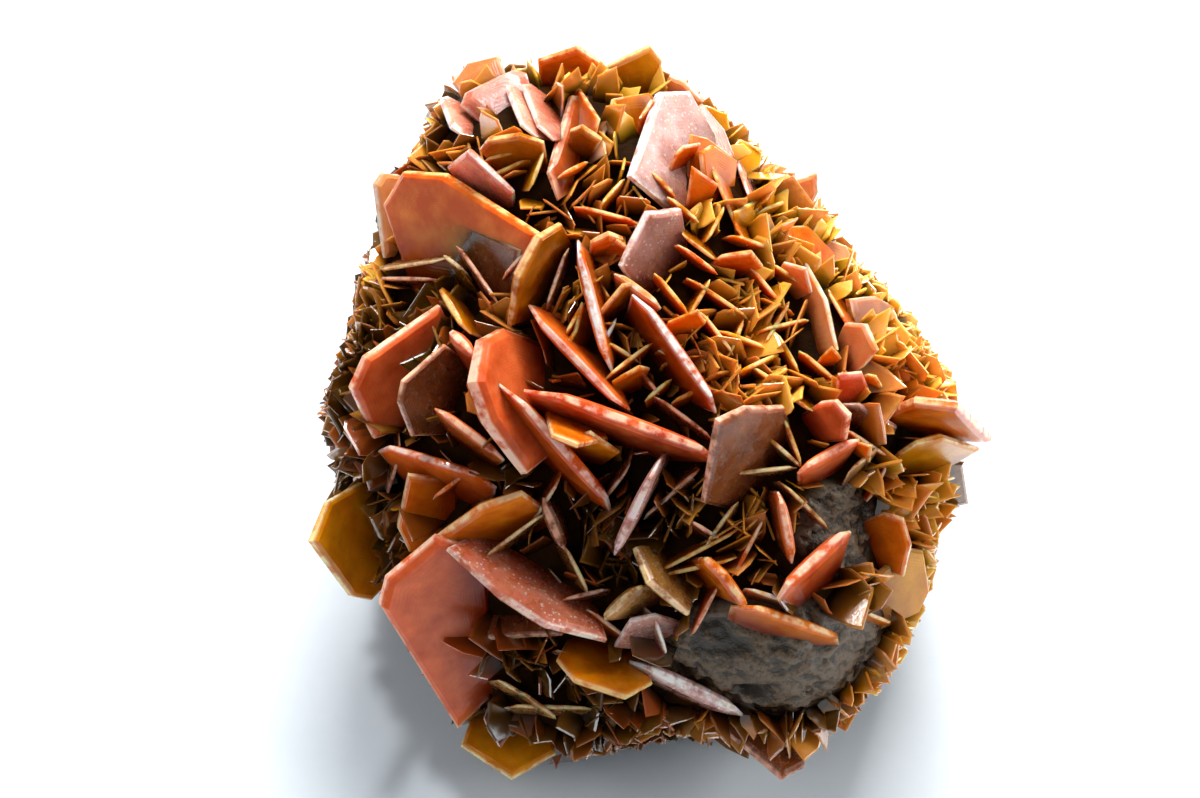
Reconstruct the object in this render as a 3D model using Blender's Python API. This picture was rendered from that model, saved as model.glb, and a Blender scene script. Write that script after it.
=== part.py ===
"""A wulfenite specimen: tabular crystals grown over a lump of dark matrix.

Metres, +Z up. The origin is the middle of the small flat that the lump rests on.
The crystals are placed on the display face, the side of the lump that is shown to the viewer.
A place on it is a pixel of the display picture, and every size and depth is a real one.
"""

import math
from typing import NamedTuple

import bmesh
import bpy
import numpy as np
from mathutils import Vector
from mathutils.bvhtree import BVHTree

MM = 0.001

# The display face, which looks up and forwards from the lump
FACE_TILT = math.radians(60)
FACE_MIDDLE = np.array([-0.15, 1.6, 17.0]) * MM
FACE_AXES = np.array([
    [1.0, 0.0, 0.0],
    [0.0, math.sin(FACE_TILT), math.cos(FACE_TILT)],
    [0.0, -math.cos(FACE_TILT), math.sin(FACE_TILT)],
])
VIEW_DISTANCE = 330 * MM
PIXEL = 0.07 * MM
MIDDLE_PIXEL = np.array([650.0, 411.0])

# The matrix
OUTLINE = np.array([19.6, 17.9, 16.8, 17.2, 21.0, 23.2, 26.0, 21.7, 20.9,
                    21.7, 21.0, 20.4, 24.2, 23.5, 22.3, 24.5, 23.1, 20.8]) * MM
FRONT_DOME = 12.5 * MM
BACK_DOME = 18.0 * MM
DOME_POWER = 2.05
RINGS = 15
RING_POINTS = 32
SWELL = 0.7 * MM
SWELL_WAVES = 5.0

# How the crystals sit
GAP = 0.3 * MM
ROOT = 0.9 * MM
DEEPEST_DIP = 8.0 * MM
DIP_STEP = 0.2 * MM
TAPER = 0.14
CORNER = 0.09

# The small blades of the druse
FRONT_BLADES = 400
BACK_BLADES = 70
BLADE_WIDTH = (1.7 * MM, 3.4 * MM)
BLADE_STAND = (1.1 * MM, 2.3 * MM)
BLADE_THICK = 0.42 * MM
BLADE_LEAN = 0.6
BLADE_CLEAR = 0.25 * MM
LOWEST_BLADE = 4.0 * MM
SEED = 7


class Hollow(NamedTuple):
    """A round dent in the lump, or a boss where the depth is negative."""

    pixel: tuple
    radius: float
    depth: float


HOLLOWS = (
    Hollow(pixel=(600, 560), radius=4.5 * MM, depth=2.6 * MM),
    Hollow(pixel=(585, 690), radius=5.0 * MM, depth=2.2 * MM),
    Hollow(pixel=(420, 290), radius=4.0 * MM, depth=1.8 * MM),
    Hollow(pixel=(370, 470), radius=3.5 * MM, depth=1.6 * MM),
    Hollow(pixel=(790, 640), radius=5.0 * MM, depth=-1.4 * MM),
    Hollow(pixel=(540, 400), radius=6.0 * MM, depth=-1.2 * MM),
)


class Crystal(NamedTuple):
    """One tabular crystal, by what is seen of it on the display face.

    rim holds the pixels of its free outer edges, in turn. rise is how far the rim's first and
    last points stand out of the lump, in mm. foot is the pixel where the plate's face meets the
    lump, so these three points fix the plate's plane, and the rim's other points lie on it.
    """

    name: str
    rim: tuple
    foot: tuple
    rise: tuple
    thick: float
    colour: str


CRYSTALS = (
    Crystal("orange_shelf_upper_left", ((385, 204), (405, 171), (446, 174), (540, 234)),
            (452, 256), (3.2, 3.2), 1.0, "orange"),
    Crystal("brown_shelf_upper_left", ((401, 243), (418, 212), (436, 209), (522, 250)),
            (462, 272), (2.4, 2.4), 0.6, "brown"),
    Crystal("peach_plate_far_left", ((398, 174), (382, 173), (374, 184), (384, 258)),
            (404, 220), (0.8, 0.8), 0.9, "peach"),
    Crystal("pink_plate_far_left", ((438, 94), (453, 133)), (459, 108), (2.4, 2.4), 0.8, "pink"),
    Crystal("pink_block_top_left", ((456, 99), (522, 67)), (496, 100), (3.4, 3.2), 1.3, "pink"),
    Crystal("peach_plate_top_left", ((452, 84), (468, 64), (500, 56)),
            (494, 86), (0.6, 0.8), 0.7, "peach"),
    Crystal("rose_plate_upper_left", ((448, 166), (468, 150), (514, 192)),
            (484, 190), (2.2, 1.6), 0.7, "pink"),
    Crystal("pink_blade_top_left", ((503, 80), (524, 132)), (523, 100), (4.4, 2.4), 0.7, "pink"),
    Crystal("pink_blade_top_right", ((519, 78), (541, 134)), (538, 100), (4.4, 2.4), 0.7, "pink"),
    Crystal("orange_plate_top", ((538, 60), (578, 47), (604, 64)),
            (572, 80), (2.4, 2.0), 0.8, "orange"),
    Crystal("gold_plate_top", ((606, 66), (650, 45), (662, 60)), (636, 90), (2.2, 2.0), 0.8, "gold"),
    Crystal("peach_plate_top_right", ((670, 75), (684, 81), (704, 101)),
            (678, 106), (1.8, 1.6), 0.7, "peach"),
    Crystal("mauve_plate_top", ((688, 92), (657, 93), (628, 176)),
            (676, 146), (2.8, 3.0), 1.0, "mauve"),
    Crystal("tall_blade_top", ((574, 83), (544, 186)), (568, 146), (4.8, 3.0), 0.9, "rust"),
    Crystal("orange_fan_blade", ((577, 84), (603, 124)), (582, 118), (4.0, 3.2), 0.5, "orange"),
    Crystal("amber_arch_top", ((570, 130), (582, 126), (602, 139)),
            (586, 152), (3.0, 3.0), 0.7, "amber"),
    Crystal("amber_plate_top", ((606, 100), (654, 92)), (634, 122), (3.2, 3.0), 0.6, "amber"),
    Crystal("amber_ledge_top_left", ((480, 149), (488, 139), (520, 134), (544, 142)),
            (514, 166), (3.0, 3.0), 0.7, "amber"),
    Crystal("mauve_plate_middle", ((680, 208), (647, 212), (619, 266)),
            (666, 262), (2.4, 3.2), 1.0, "mauve"),
    Crystal("peach_blade_middle", ((615, 272), (662, 307)), (632, 299), (3.6, 3.0), 0.6, "peach"),
    Crystal("amber_plate_middle", ((509, 326), (517, 276), (538, 236), (560, 223)),
            (542, 290), (3.4, 4.0), 0.8, "amber"),
    Crystal("orange_plate_middle", ((590, 242), (609, 233), (623, 238)),
            (603, 258), (3.2, 3.2), 0.7, "orange"),
    Crystal("upright_blade_middle", ((575, 240), (609, 372)), (601, 298), (5.4, 3.4), 0.8, "orange"),
    Crystal("long_blade_centre", ((638, 293), (722, 412)), (664, 362), (5.8, 3.8), 0.8, "orange"),
    Crystal("long_blade_left_of_centre", ((526, 308), (628, 414)),
            (583, 352), (5.8, 3.4), 0.8, "salmon"),
    Crystal("long_pale_blade", ((533, 386), (728, 458)), (624, 438), (6.2, 3.4), 1.0, "salmon"),
    Crystal("orange_disc_centre", ((608, 440), (578, 446), (552, 436), (545, 414)),
            (580, 422), (2.2, 2.2), 0.6, "orange"),
    Crystal("red_crystal_centre", ((500, 329), (479, 340), (471, 382), (486, 424), (524, 474)),
            (534, 404), (5.0, 4.0), 1.6, "salmon"),
    Crystal("brown_plate_left", ((444, 344), (402, 381), (398, 402), (411, 436)),
            (452, 402), (4.4, 3.8), 0.6, "brown"),
    Crystal("salmon_stub_left", ((448, 328), (470, 350)), (453, 346), (4.6, 4.4), 1.0, "salmon"),
    Crystal("thin_blade_left", ((436, 284), (464, 330)), (460, 300), (4.0, 3.4), 0.5, "amber"),
    Crystal("orange_plate_left", ((439, 305), (364, 357), (350, 388), (373, 438)),
            (414, 384), (4.2, 3.4), 1.0, "salmon"),
    Crystal("salmon_blade_left", ((374, 442), (493, 479)), (428, 476), (4.6, 3.0), 0.8, "salmon"),
    Crystal("orange_plate_lower_left", ((408, 474), (397, 526), (409, 551)),
            (436, 508), (3.0, 3.2), 0.8, "orange"),
    Crystal("gold_plate_far_left", ((360, 482), (326, 502), (310, 541), (350, 596), (370, 600)),
            (384, 542), (1.8, 1.2), 0.9, "gold"),
    Crystal("salmon_plate_front_left", ((436, 535), (386, 577), (379, 604), (457, 727)),
            (478, 636), (5.0, 2.4), 1.2, "salmon"),
    Crystal("orange_ledge_front_left", ((424, 546), (480, 507), (522, 492)),
            (490, 542), (5.2, 4.2), 0.9, "orange"),
    Crystal("frosted_blade_front", ((447, 549), (500, 596), (546, 626), (606, 641)),
            (540, 578), (5.4, 3.4), 1.0, "salmon"),
    Crystal("brown_wedge_front", ((470, 640), (575, 634)), (514, 624), (3.0, 2.6), 0.7, "brown"),
    Crystal("dark_blade_centre", ((542, 500), (564, 552)), (560, 520), (2.8, 2.8), 0.9, "brown"),
    Crystal("gold_plate_bottom_left", ((461, 746), (512, 779), (556, 754)),
            (504, 724), (1.2, 0.8), 0.9, "gold"),
    Crystal("amber_plate_bottom", ((556, 660), (574, 681), (626, 698), (652, 684)),
            (612, 652), (2.8, 2.6), 0.7, "amber"),
    Crystal("mauve_blade_front", ((656, 466), (610, 562)), (640, 508), (5.0, 4.2), 0.8, "mauve"),
    Crystal("notched_blade_front", ((508, 386), (622, 515)), (556, 462), (6.4, 4.0), 0.9, "salmon"),
    Crystal("short_blade_left", ((434, 406), (504, 458)), (464, 440), (5.2, 4.0), 0.7, "rust"),
    Crystal("tan_plate_front", ((634, 548), (648, 582), (688, 615)),
            (672, 566), (3.4, 3.0), 0.8, "tan"),
    Crystal("tan_blade_front", ((638, 586), (600, 620)), (632, 612), (3.4, 3.2), 1.0, "tan"),
    Crystal("mauve_plate_front", ((614, 646), (630, 620), (656, 614)),
            (645, 646), (2.2, 2.0), 0.6, "mauve"),
    Crystal("brown_plate_right", ((702, 502), (717, 420), (745, 407), (783, 406)),
            (764, 462), (2.8, 3.2), 0.9, "brown"),
    Crystal("salmon_plate_right", ((820, 402), (836, 400), (850, 415), (846, 440)),
            (822, 436), (2.8, 2.8), 0.8, "salmon"),
    Crystal("salmon_blade_right", ((799, 470), (861, 436)), (834, 464), (3.4, 3.2), 0.8, "salmon"),
    Crystal("brown_plate_far_right", ((853, 400), (903, 430)), (871, 427), (3.0, 2.4), 0.6, "brown"),
    Crystal("orange_lip_right", ((890, 410), (914, 400), (958, 405), (992, 438)),
            (930, 436), (1.8, 1.4), 1.1, "orange"),
    Crystal("gold_lip_right", ((898, 454), (916, 442), (942, 436), (979, 448)),
            (934, 472), (1.6, 1.0), 0.7, "gold"),
    Crystal("salmon_blade_lower_right", ((851, 525), (777, 593)),
            (826, 570), (3.6, 3.4), 1.1, "salmon"),
    Crystal("upright_blade_right", ((780, 494), (794, 566)), (779, 532), (4.0, 3.0), 0.8, "rust"),
    Crystal("glossy_blade_right", ((706, 558), (724, 575), (746, 605)),
            (718, 590), (4.2, 3.6), 0.8, "orange"),
    Crystal("glossy_ledge_right", ((742, 602), (851, 640)), (794, 630), (3.6, 2.4), 0.8, "orange"),
    Crystal("frosted_lip_lower_right", ((636, 662), (750, 716)), (692, 692), (2.4, 1.8), 1.1, "mauve"),
    Crystal("brown_plate_lower_right", ((722, 728), (782, 779), (804, 767)),
            (772, 736), (1.4, 0.8), 0.9, "brown"),
    Crystal("orange_roof_top_right", ((700, 152), (711, 145), (736, 161)),
            (716, 180), (3.0, 2.6), 0.6, "orange"),
    Crystal("orange_plate_upper_right", ((788, 227), (806, 226), (835, 256)),
            (806, 262), (2.4, 2.0), 0.8, "orange"),
    Crystal("peach_plate_corner", ((768, 180), (790, 181), (817, 173), (818, 192)),
            (794, 214), (1.2, 0.8), 0.7, "peach"),
    Crystal("amber_block_right", ((847, 299), (872, 296), (893, 308)),
            (858, 318), (1.8, 1.4), 1.0, "amber"),
    Crystal("pale_plate_right", ((846, 322), (866, 324), (878, 350), (864, 366)),
            (846, 352), (2.2, 2.2), 0.6, "peach"),
    Crystal("orange_plate_lower_right", ((884, 512), (903, 518), (911, 545), (904, 576)),
            (878, 548), (2.2, 2.0), 0.7, "orange"),
    Crystal("gold_plate_far_right", ((910, 548), (922, 550), (928, 590), (918, 612)),
            (886, 582), (2.0, 2.0), 0.6, "gold"),
)

COLOURS = {
    "salmon": (0.72, 0.20, 0.08),
    "orange": (0.78, 0.24, 0.02),
    "amber": (0.62, 0.26, 0.02),
    "gold": (0.72, 0.38, 0.05),
    "peach": (0.80, 0.42, 0.20),
    "pink": (0.76, 0.36, 0.26),
    "mauve": (0.50, 0.28, 0.24),
    "rust": (0.55, 0.18, 0.06),
    "tan": (0.50, 0.28, 0.10),
    "brown": (0.28, 0.13, 0.07),
}
MATRIX_COLOUR = (0.30, 0.20, 0.07)


def clear_scene():
    for old in list(bpy.data.objects):
        bpy.data.objects.remove(old)


def unit(vectors):
    return vectors / np.linalg.norm(vectors, axis=-1, keepdims=True)


def world_from_face(points):
    """Points on the display face's own axes, across, up and out, in the world."""
    return FACE_MIDDLE + np.asarray(points) @ FACE_AXES


def sight_point(pixel, depth):
    """The point that a pixel shows at this distance out of the display face."""
    across, down = (np.asarray(pixel, float) - MIDDLE_PIXEL) * PIXEL
    nearer = 1 - depth / VIEW_DISTANCE
    return np.array([across * nearer, -down * nearer, depth])


def outline_radius(angle):
    """The lump's outline, as a smooth closed curve through its evenly spaced radii."""
    place = np.mod(angle / (2 * math.pi), 1) * len(OUTLINE)
    first = np.floor(place).astype(int)
    part = place - first
    a, b, c, d = (OUTLINE[(first + step) % len(OUTLINE)] for step in (-1, 0, 1, 2))
    return b + 0.5 * part * (c - a + part * (2 * a - 5 * b + 4 * c - d + part * (3 * (b - c) + d - a)))


def swell(directions):
    """Slow rises and falls of the lump's surface, as a sum of waves in fixed random directions."""
    rng = np.random.default_rng(SEED)
    waves = rng.normal(size=(9, 3)) * SWELL_WAVES
    phases = rng.uniform(0, 2 * math.pi, 9)
    return SWELL * np.sin(directions @ waves.T + phases).sum(axis=1) / 3


def smooth_dome(directions):
    """The lump before its hollows: its outline, domed to the front and to the back."""
    rim = outline_radius(np.arctan2(directions[:, 1], directions[:, 0]))
    out = directions[:, 2]
    level = np.sqrt(np.clip(1 - out**2, 0, 1))
    dome = np.where(out > 0, FRONT_DOME, BACK_DOME)
    return ((level / rim) ** DOME_POWER + (np.abs(out) / dome) ** DOME_POWER) ** (-1 / DOME_POWER)


def matrix_radius(directions):
    """The lump's radius from the face's middle in each direction, flat where it meets Z = 0."""
    radius = smooth_dome(directions) + swell(directions)
    for hollow in HOLLOWS:
        middle = sight_point(hollow.pixel, depth_over(hollow.pixel, smooth_dome))
        away = np.linalg.norm(directions * radius[:, None] - middle, axis=1)
        radius = radius - hollow.depth * np.exp(-((away / hollow.radius) ** 2))
    falling = -(directions @ FACE_AXES)[:, 2]
    to_floor = FACE_MIDDLE[2] / np.maximum(falling, 1e-6)
    return np.minimum(radius, to_floor)


def height_over(points, radius_of):
    """How far each point on the face's axes is outside the lump, negative inside."""
    reach = np.linalg.norm(points, axis=-1)
    return reach - radius_of(unit(points))


def depth_over(pixel, radius_of):
    """How far out of the display face the lump's surface is at a pixel, 0 outside its outline."""
    low, high = 0.0, 2 * FRONT_DOME
    if height_over(sight_point(pixel, low)[None] + 1e-9, radius_of)[0] > 0:
        return 0.0
    for _ in range(24):
        middle = (low + high) / 2
        outside = height_over(sight_point(pixel, middle)[None], radius_of)[0] > 0
        low, high = (low, middle) if outside else (middle, high)
    return low


def plate_frame(crystal):
    """The plate's first rim point, its unit vectors along and down the plate, and its rim on them."""
    first, last, foot = (
        sight_point(pixel, depth_over(pixel, matrix_radius) + rise * MM)
        for pixel, rise in zip((crystal.rim[0], crystal.rim[-1], crystal.foot), (*crystal.rise, 0))
    )
    along = unit(last - first)
    dip = unit(foot - first - along * ((foot - first) @ along))
    across = np.cross(along, dip)
    eye = np.array([0.0, 0.0, VIEW_DISTANCE])
    rim = []
    for pixel in crystal.rim:
        sight = sight_point(pixel, 0.0) - eye
        point = eye + sight * ((first - eye) @ across) / (sight @ across) - first
        rim.append((point @ along, point @ dip))
    return first, along, dip, np.array(rim)


def plate_depth(first, along, dip, length):
    """How far down its plane the plate runs before most of its root is well inside the lump."""
    steps = np.arange(DIP_STEP, DEEPEST_DIP, DIP_STEP)
    starts = first + np.outer((0.2, 0.5, 0.8), along) * length
    points = starts[None] + steps[:, None, None] * dip
    buried = height_over(points.reshape(-1, 3), matrix_radius).reshape(len(steps), 3) < -ROOT
    rooted = np.flatnonzero(buried.sum(axis=1) >= 2)
    return steps[rooted[0]] if len(rooted) else DEEPEST_DIP


def plate_outline(rim, depth):
    """The rim, then the root's two corners. A rim of one straight edge has its corners cut."""
    length = rim[-1, 0]
    taper = TAPER * length
    if len(rim) == 2:
        cut = CORNER * length
        rim = np.array([(0, cut), (cut, 0), (length - cut, 0), (length, cut)])
    return np.vstack([rim, (length - taper, depth), (taper, depth)])


def grown(outline, distance):
    """A convex outline with every side moved outwards by this distance, or inwards if negative."""
    sides = np.roll(outline, -1, axis=0) - outline
    outward = unit(np.stack([sides[:, 1], -sides[:, 0]], axis=1))
    before = np.roll(outward, 1, axis=0)
    shift = (outward + before) / (1 + (outward * before).sum(axis=1, keepdims=True))
    return outline + shift * distance


def plate_mesh(name, outline, levels, corner, along, dip):
    """A plate as a closed mesh: the outline at each (inset, height) level, bridged and capped."""
    across = np.cross(along, dip)
    mesh = bmesh.new()
    rings = []
    for inset, height in levels:
        ring = grown(outline, -inset)
        points = world_from_face(corner + ring[:, :1] * along + ring[:, 1:] * dip + height * across)
        rings.append([mesh.verts.new(point) for point in points])
    count = len(outline)
    for lower, upper in zip(rings, rings[1:]):
        for i in range(count):
            mesh.faces.new((lower[i], lower[(i + 1) % count], upper[(i + 1) % count], upper[i]))
    mesh.faces.new(reversed(rings[0]))
    mesh.faces.new(rings[-1])
    bmesh.ops.recalc_face_normals(mesh, faces=mesh.faces)
    data = bpy.data.meshes.new(name)
    mesh.to_mesh(data)
    mesh.free()
    return data


def crystal_meshes(crystal):
    """The crystal's bevelled plate, and the larger plain plate that cuts its pocket."""
    corner, along, dip, rim = plate_frame(crystal)
    outline = plate_outline(rim, plate_depth(corner, along, dip, rim[-1, 0]))
    half = crystal.thick * MM / 2
    bevel = 0.55 * half
    solid = plate_mesh(
        crystal.name, outline,
        ((bevel, -half), (0, -0.4 * half), (0, 0.4 * half), (bevel, half)),
        corner, along, dip,
    )
    pocket = plate_mesh(
        crystal.name + "_pocket", grown(outline, GAP),
        ((0, -half - GAP), (0, half + GAP)), corner, along, dip,
    )
    return solid, pocket


def joined(name, meshes):
    """One mesh that holds all of these."""
    mesh = bmesh.new()
    for part in meshes:
        mesh.from_mesh(part)
    data = bpy.data.meshes.new(name)
    mesh.to_mesh(data)
    mesh.free()
    return data


def tree_of(mesh):
    return BVHTree.FromPolygons([v.co for v in mesh.vertices], [p.vertices for p in mesh.polygons])


def add_object(name, mesh):
    made = bpy.data.objects.new(name, mesh)
    bpy.context.scene.collection.objects.link(made)
    return made


def as_tool(made):
    made.hide_render = True
    made.display_type = "WIRE"
    return made


def combine(made, tool, operation):
    """A Boolean whose tool may be several plates that cross one another."""
    boolean = made.modifiers.new(tool.name, "BOOLEAN")
    boolean.operation = operation
    boolean.object = tool
    boolean.solver = "EXACT"
    boolean.use_self = True


def coloured(made, name, colour, roughness):
    material = bpy.data.materials.get(name) or bpy.data.materials.new(name)
    material.use_nodes = True
    shader = material.node_tree.nodes["Principled BSDF"]
    shader.inputs["Base Color"].default_value = (*colour, 1.0)
    shader.inputs["Roughness"].default_value = roughness
    shader.inputs["Metallic"].default_value = 0.0
    made.data.materials.append(material)


def settle(made):
    """Applies the object's modifiers, then keeps only its largest body."""
    made.data = bpy.data.meshes.new_from_object(made.evaluated_get(bpy.context.evaluated_depsgraph_get()))
    made.modifiers.clear()
    mesh = bmesh.new()
    mesh.from_mesh(made.data)
    left, bodies = set(mesh.verts), []
    while left:
        body, edge_of = set(), [left.pop()]
        while edge_of:
            vert = edge_of.pop()
            body.add(vert)
            near = {edge.other_vert(vert) for edge in vert.link_edges} & left
            left -= near
            edge_of.extend(near)
        bodies.append(body)
    bodies.sort(key=len)
    bmesh.ops.delete(mesh, geom=[vert for body in bodies[:-1] for vert in body], context="VERTS")
    mesh.to_mesh(made.data)
    mesh.free()


def lump_mesh():
    """The matrix as rings of points from the front pole to the back one, closed at both."""
    polar = np.linspace(0, math.pi, RINGS + 1)[1:-1]
    around = np.arange(RING_POINTS) * 2 * math.pi / RING_POINTS
    polar, around = np.meshgrid(polar, around, indexing="ij")
    directions = np.stack([
        np.sin(polar) * np.cos(around), np.sin(polar) * np.sin(around), np.cos(polar),
    ], axis=-1).reshape(-1, 3)
    directions = np.vstack([directions, (0, 0, 1), (0, 0, -1)])
    points = world_from_face(directions * matrix_radius(directions)[:, None])
    front, back = len(points) - 2, len(points) - 1
    last = (RINGS - 2) * RING_POINTS
    faces = []
    for i in range(RING_POINTS):
        j = (i + 1) % RING_POINTS
        faces.append((front, i, j))
        faces.append((back, last + j, last + i))
        for ring in range(0, last, RING_POINTS):
            faces.append((ring + i, ring + RING_POINTS + i, ring + RING_POINTS + j, ring + j))
    data = bpy.data.meshes.new("matrix")
    data.from_pydata(points.tolist(), [], faces)
    return data


def even_directions(count, side):
    """Directions spread evenly over the front (side 1) or back (-1) half of a sphere, in a spiral."""
    place = np.arange(count) + 0.5
    out = 1 - place / count
    turn = place * math.pi * (3 - math.sqrt(5))
    level = np.sqrt(1 - out**2)
    return np.stack([level * np.cos(turn), level * np.sin(turn), side * out], axis=1)


BARE_PIXEL = (790, 650)
BARE_RADIUS = 8.0 * MM


def druse_meshes(keep_off):
    """Small blades that stand on the lump wherever the matrix isn't bare, clear of keep_off."""
    rng = np.random.default_rng(SEED)
    bare = sight_point(BARE_PIXEL, depth_over(BARE_PIXEL, matrix_radius))
    directions = np.vstack([even_directions(FRONT_BLADES, 1), even_directions(BACK_BLADES, -1)])
    feet = directions * matrix_radius(directions)[:, None]
    meshes, trees = [], list(keep_off)
    for direction, foot in zip(directions, feet):
        width, stand = rng.uniform(*BLADE_WIDTH), rng.uniform(*BLADE_STAND)
        along = unit(np.cross(direction, rng.normal(size=3)))
        dip = unit(-direction + BLADE_LEAN * rng.uniform(-1, 1) * np.cross(direction, along))
        too_low = world_from_face(foot)[2] < LOWEST_BLADE
        if too_low or np.linalg.norm(foot - bare) < BARE_RADIUS:
            continue
        outline = plate_outline(np.array([(0, 0), (width, 0)]), stand + ROOT)
        corner = foot - along * width / 2 - dip * stand
        blade = plate_mesh(
            "blade", outline,
            ((0, -BLADE_THICK / 2), (0, BLADE_THICK / 2)), corner, along, dip,
        )
        room = tree_of(plate_mesh(
            "room", grown(outline, BLADE_CLEAR),
            ((0, -BLADE_THICK / 2 - BLADE_CLEAR), (0, BLADE_THICK / 2 + BLADE_CLEAR)), corner, along, dip,
        ))
        if any(room.overlap(other) for other in trees):
            continue
        trees.append(tree_of(blade))
        meshes.append(blade)
    return meshes


def grown_together(solids):
    """The first crystal that each one is grown together with, through those that cross between."""
    trees = [tree_of(solid) for solid in solids]
    group = list(range(len(solids)))
    for i in range(len(solids)):
        for j in range(i):
            if group[i] != group[j] and trees[i].overlap(trees[j]):
                old, new = max(group[i], group[j]), min(group[i], group[j])
                group = [new if g == old else g for g in group]
    return group


def main():
    clear_scene()
    pairs = [crystal_meshes(crystal) for crystal in CRYSTALS]
    solids, pockets = zip(*pairs)
    group = grown_together(solids)
    for i, crystal in enumerate(CRYSTALS):
        if group[i] != i:
            continue
        made = add_object(crystal.name, solids[i])
        others = [solids[j] for j in range(i + 1, len(CRYSTALS)) if group[j] == i]
        if others:
            combine(made, as_tool(add_object(crystal.name + "_others", joined("others", others))), "UNION")
        coloured(made, crystal.colour, COLOURS[crystal.colour], 0.35)

    matrix = add_object("matrix", lump_mesh())
    blades = druse_meshes([tree_of(pocket) for pocket in pockets])
    combine(matrix, as_tool(add_object("blades", joined("blades", blades))), "UNION")
    combine(matrix, as_tool(add_object("pockets", joined("pockets", pockets))), "DIFFERENCE")
    settle(matrix)
    coloured(matrix, "matrix", MATRIX_COLOUR, 0.6)


if __name__ == "__main__":
    main()
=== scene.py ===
import math

import bpy
import numpy as np
from mathutils import Matrix, Vector


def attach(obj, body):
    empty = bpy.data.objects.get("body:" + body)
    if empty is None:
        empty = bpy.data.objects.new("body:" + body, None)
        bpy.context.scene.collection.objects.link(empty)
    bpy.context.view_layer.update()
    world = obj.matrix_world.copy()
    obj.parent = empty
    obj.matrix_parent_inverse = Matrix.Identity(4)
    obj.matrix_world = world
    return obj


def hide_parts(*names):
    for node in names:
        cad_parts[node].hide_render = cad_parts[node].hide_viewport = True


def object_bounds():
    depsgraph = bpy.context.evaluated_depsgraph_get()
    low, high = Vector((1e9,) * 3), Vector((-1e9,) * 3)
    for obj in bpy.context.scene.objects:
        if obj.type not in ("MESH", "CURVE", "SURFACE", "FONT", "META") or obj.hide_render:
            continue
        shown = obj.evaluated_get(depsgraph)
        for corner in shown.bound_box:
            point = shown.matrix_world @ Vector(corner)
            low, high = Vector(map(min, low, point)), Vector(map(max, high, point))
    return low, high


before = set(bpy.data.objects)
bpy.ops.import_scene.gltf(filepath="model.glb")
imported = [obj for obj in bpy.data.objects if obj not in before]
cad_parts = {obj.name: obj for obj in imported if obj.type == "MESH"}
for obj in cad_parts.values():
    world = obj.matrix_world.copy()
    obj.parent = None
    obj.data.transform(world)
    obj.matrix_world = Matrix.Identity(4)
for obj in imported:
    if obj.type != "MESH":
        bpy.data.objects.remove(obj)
cad_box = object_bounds()

# The stand: a plain pale table, soft studio light from behind and from the right, and the
# camera, which looks down at the display face of the specimen.
# Places on the specimen are given as pixels of this view, in metres on its own axes:
# across, up and out towards the camera.
MM = 0.001
FACE_TILT = math.radians(60)
FACE_MIDDLE = np.array([-0.15, 1.6, 17.0]) * MM
FACE_AXES = np.array([
    [1.0, 0.0, 0.0],
    [0.0, math.sin(FACE_TILT), math.cos(FACE_TILT)],
    [0.0, -math.cos(FACE_TILT), math.sin(FACE_TILT)],
])
VIEW_DISTANCE = 330 * MM
PIXEL = 0.07 * MM
MIDDLE_PIXEL = np.array([650.0, 411.0])
PICTURE = np.array([1200.0, 798.0])

camera_data = bpy.data.cameras.new("camera")
camera_data.sensor_width = 36.0
camera_data.lens = 36.0 * VIEW_DISTANCE / (PICTURE[0] * PIXEL)
camera_data.shift_x = (PICTURE[0] / 2 - MIDDLE_PIXEL[0]) / PICTURE[0]
camera_data.shift_y = -(PICTURE[1] / 2 - MIDDLE_PIXEL[1]) / PICTURE[0]
camera_data.clip_start = 0.01
camera = bpy.data.objects.new("camera", camera_data)
turned = Matrix(FACE_AXES.T.tolist()).to_4x4()
camera.matrix_world = Matrix.Translation(Vector(FACE_MIDDLE + VIEW_DISTANCE * FACE_AXES[2])) @ turned
bpy.context.scene.collection.objects.link(camera)
bpy.context.scene.camera = camera
bpy.context.scene.view_settings.view_transform = "Standard"


def soft_light(name, place, size, power, colour):
    """A square area light that faces the middle of the specimen."""
    data = bpy.data.lights.new(name, "AREA")
    data.shape = "SQUARE"
    data.size = size
    data.energy = power
    data.color = colour
    light = bpy.data.objects.new(name, data)
    aim = Vector(FACE_MIDDLE) - Vector(place)
    light.matrix_world = Matrix.Translation(Vector(place)) @ aim.to_track_quat("-Z", "Y").to_matrix().to_4x4()
    bpy.context.scene.collection.objects.link(light)


soft_light("light_behind", (0.07, 0.36, 0.36), 0.28, 5.6, (1.0, 0.98, 0.95))
soft_light("light_right", (0.42, -0.02, 0.26), 0.20, 1.0, (1.0, 0.99, 0.97))
soft_light("light_front", (-0.20, -0.24, 0.42), 0.34, 0.5, (1.0, 0.98, 0.95))
soft_light("light_glint", (-0.12, 0.24, 0.46), 0.05, 1.0, (1.0, 1.0, 1.0))

sky = bpy.data.worlds.new("studio")
sky.use_nodes = True
sky.node_tree.nodes["Background"].inputs["Color"].default_value = (0.86, 0.92, 1.0, 1.0)
sky.node_tree.nodes["Background"].inputs["Strength"].default_value = 0.22
bpy.context.scene.world = sky


def mesh_object(name, points, *faces):
    """An object at the origin from whole arrays of points and of faces, one array for each number
    of corners."""
    mesh = bpy.data.meshes.new(name)
    mesh.from_pydata(points.tolist(), [], sum((kind.tolist() for kind in faces), []))
    mesh.update()
    made = bpy.data.objects.new(name, mesh)
    bpy.context.scene.collection.objects.link(made)
    return made


def new_material(name):
    """A material with its own Principled shader: the material, its nodes and the shader."""
    material = bpy.data.materials.new(name)
    material.use_nodes = True
    return material, material.node_tree, material.node_tree.nodes["Principled BSDF"]


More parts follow.
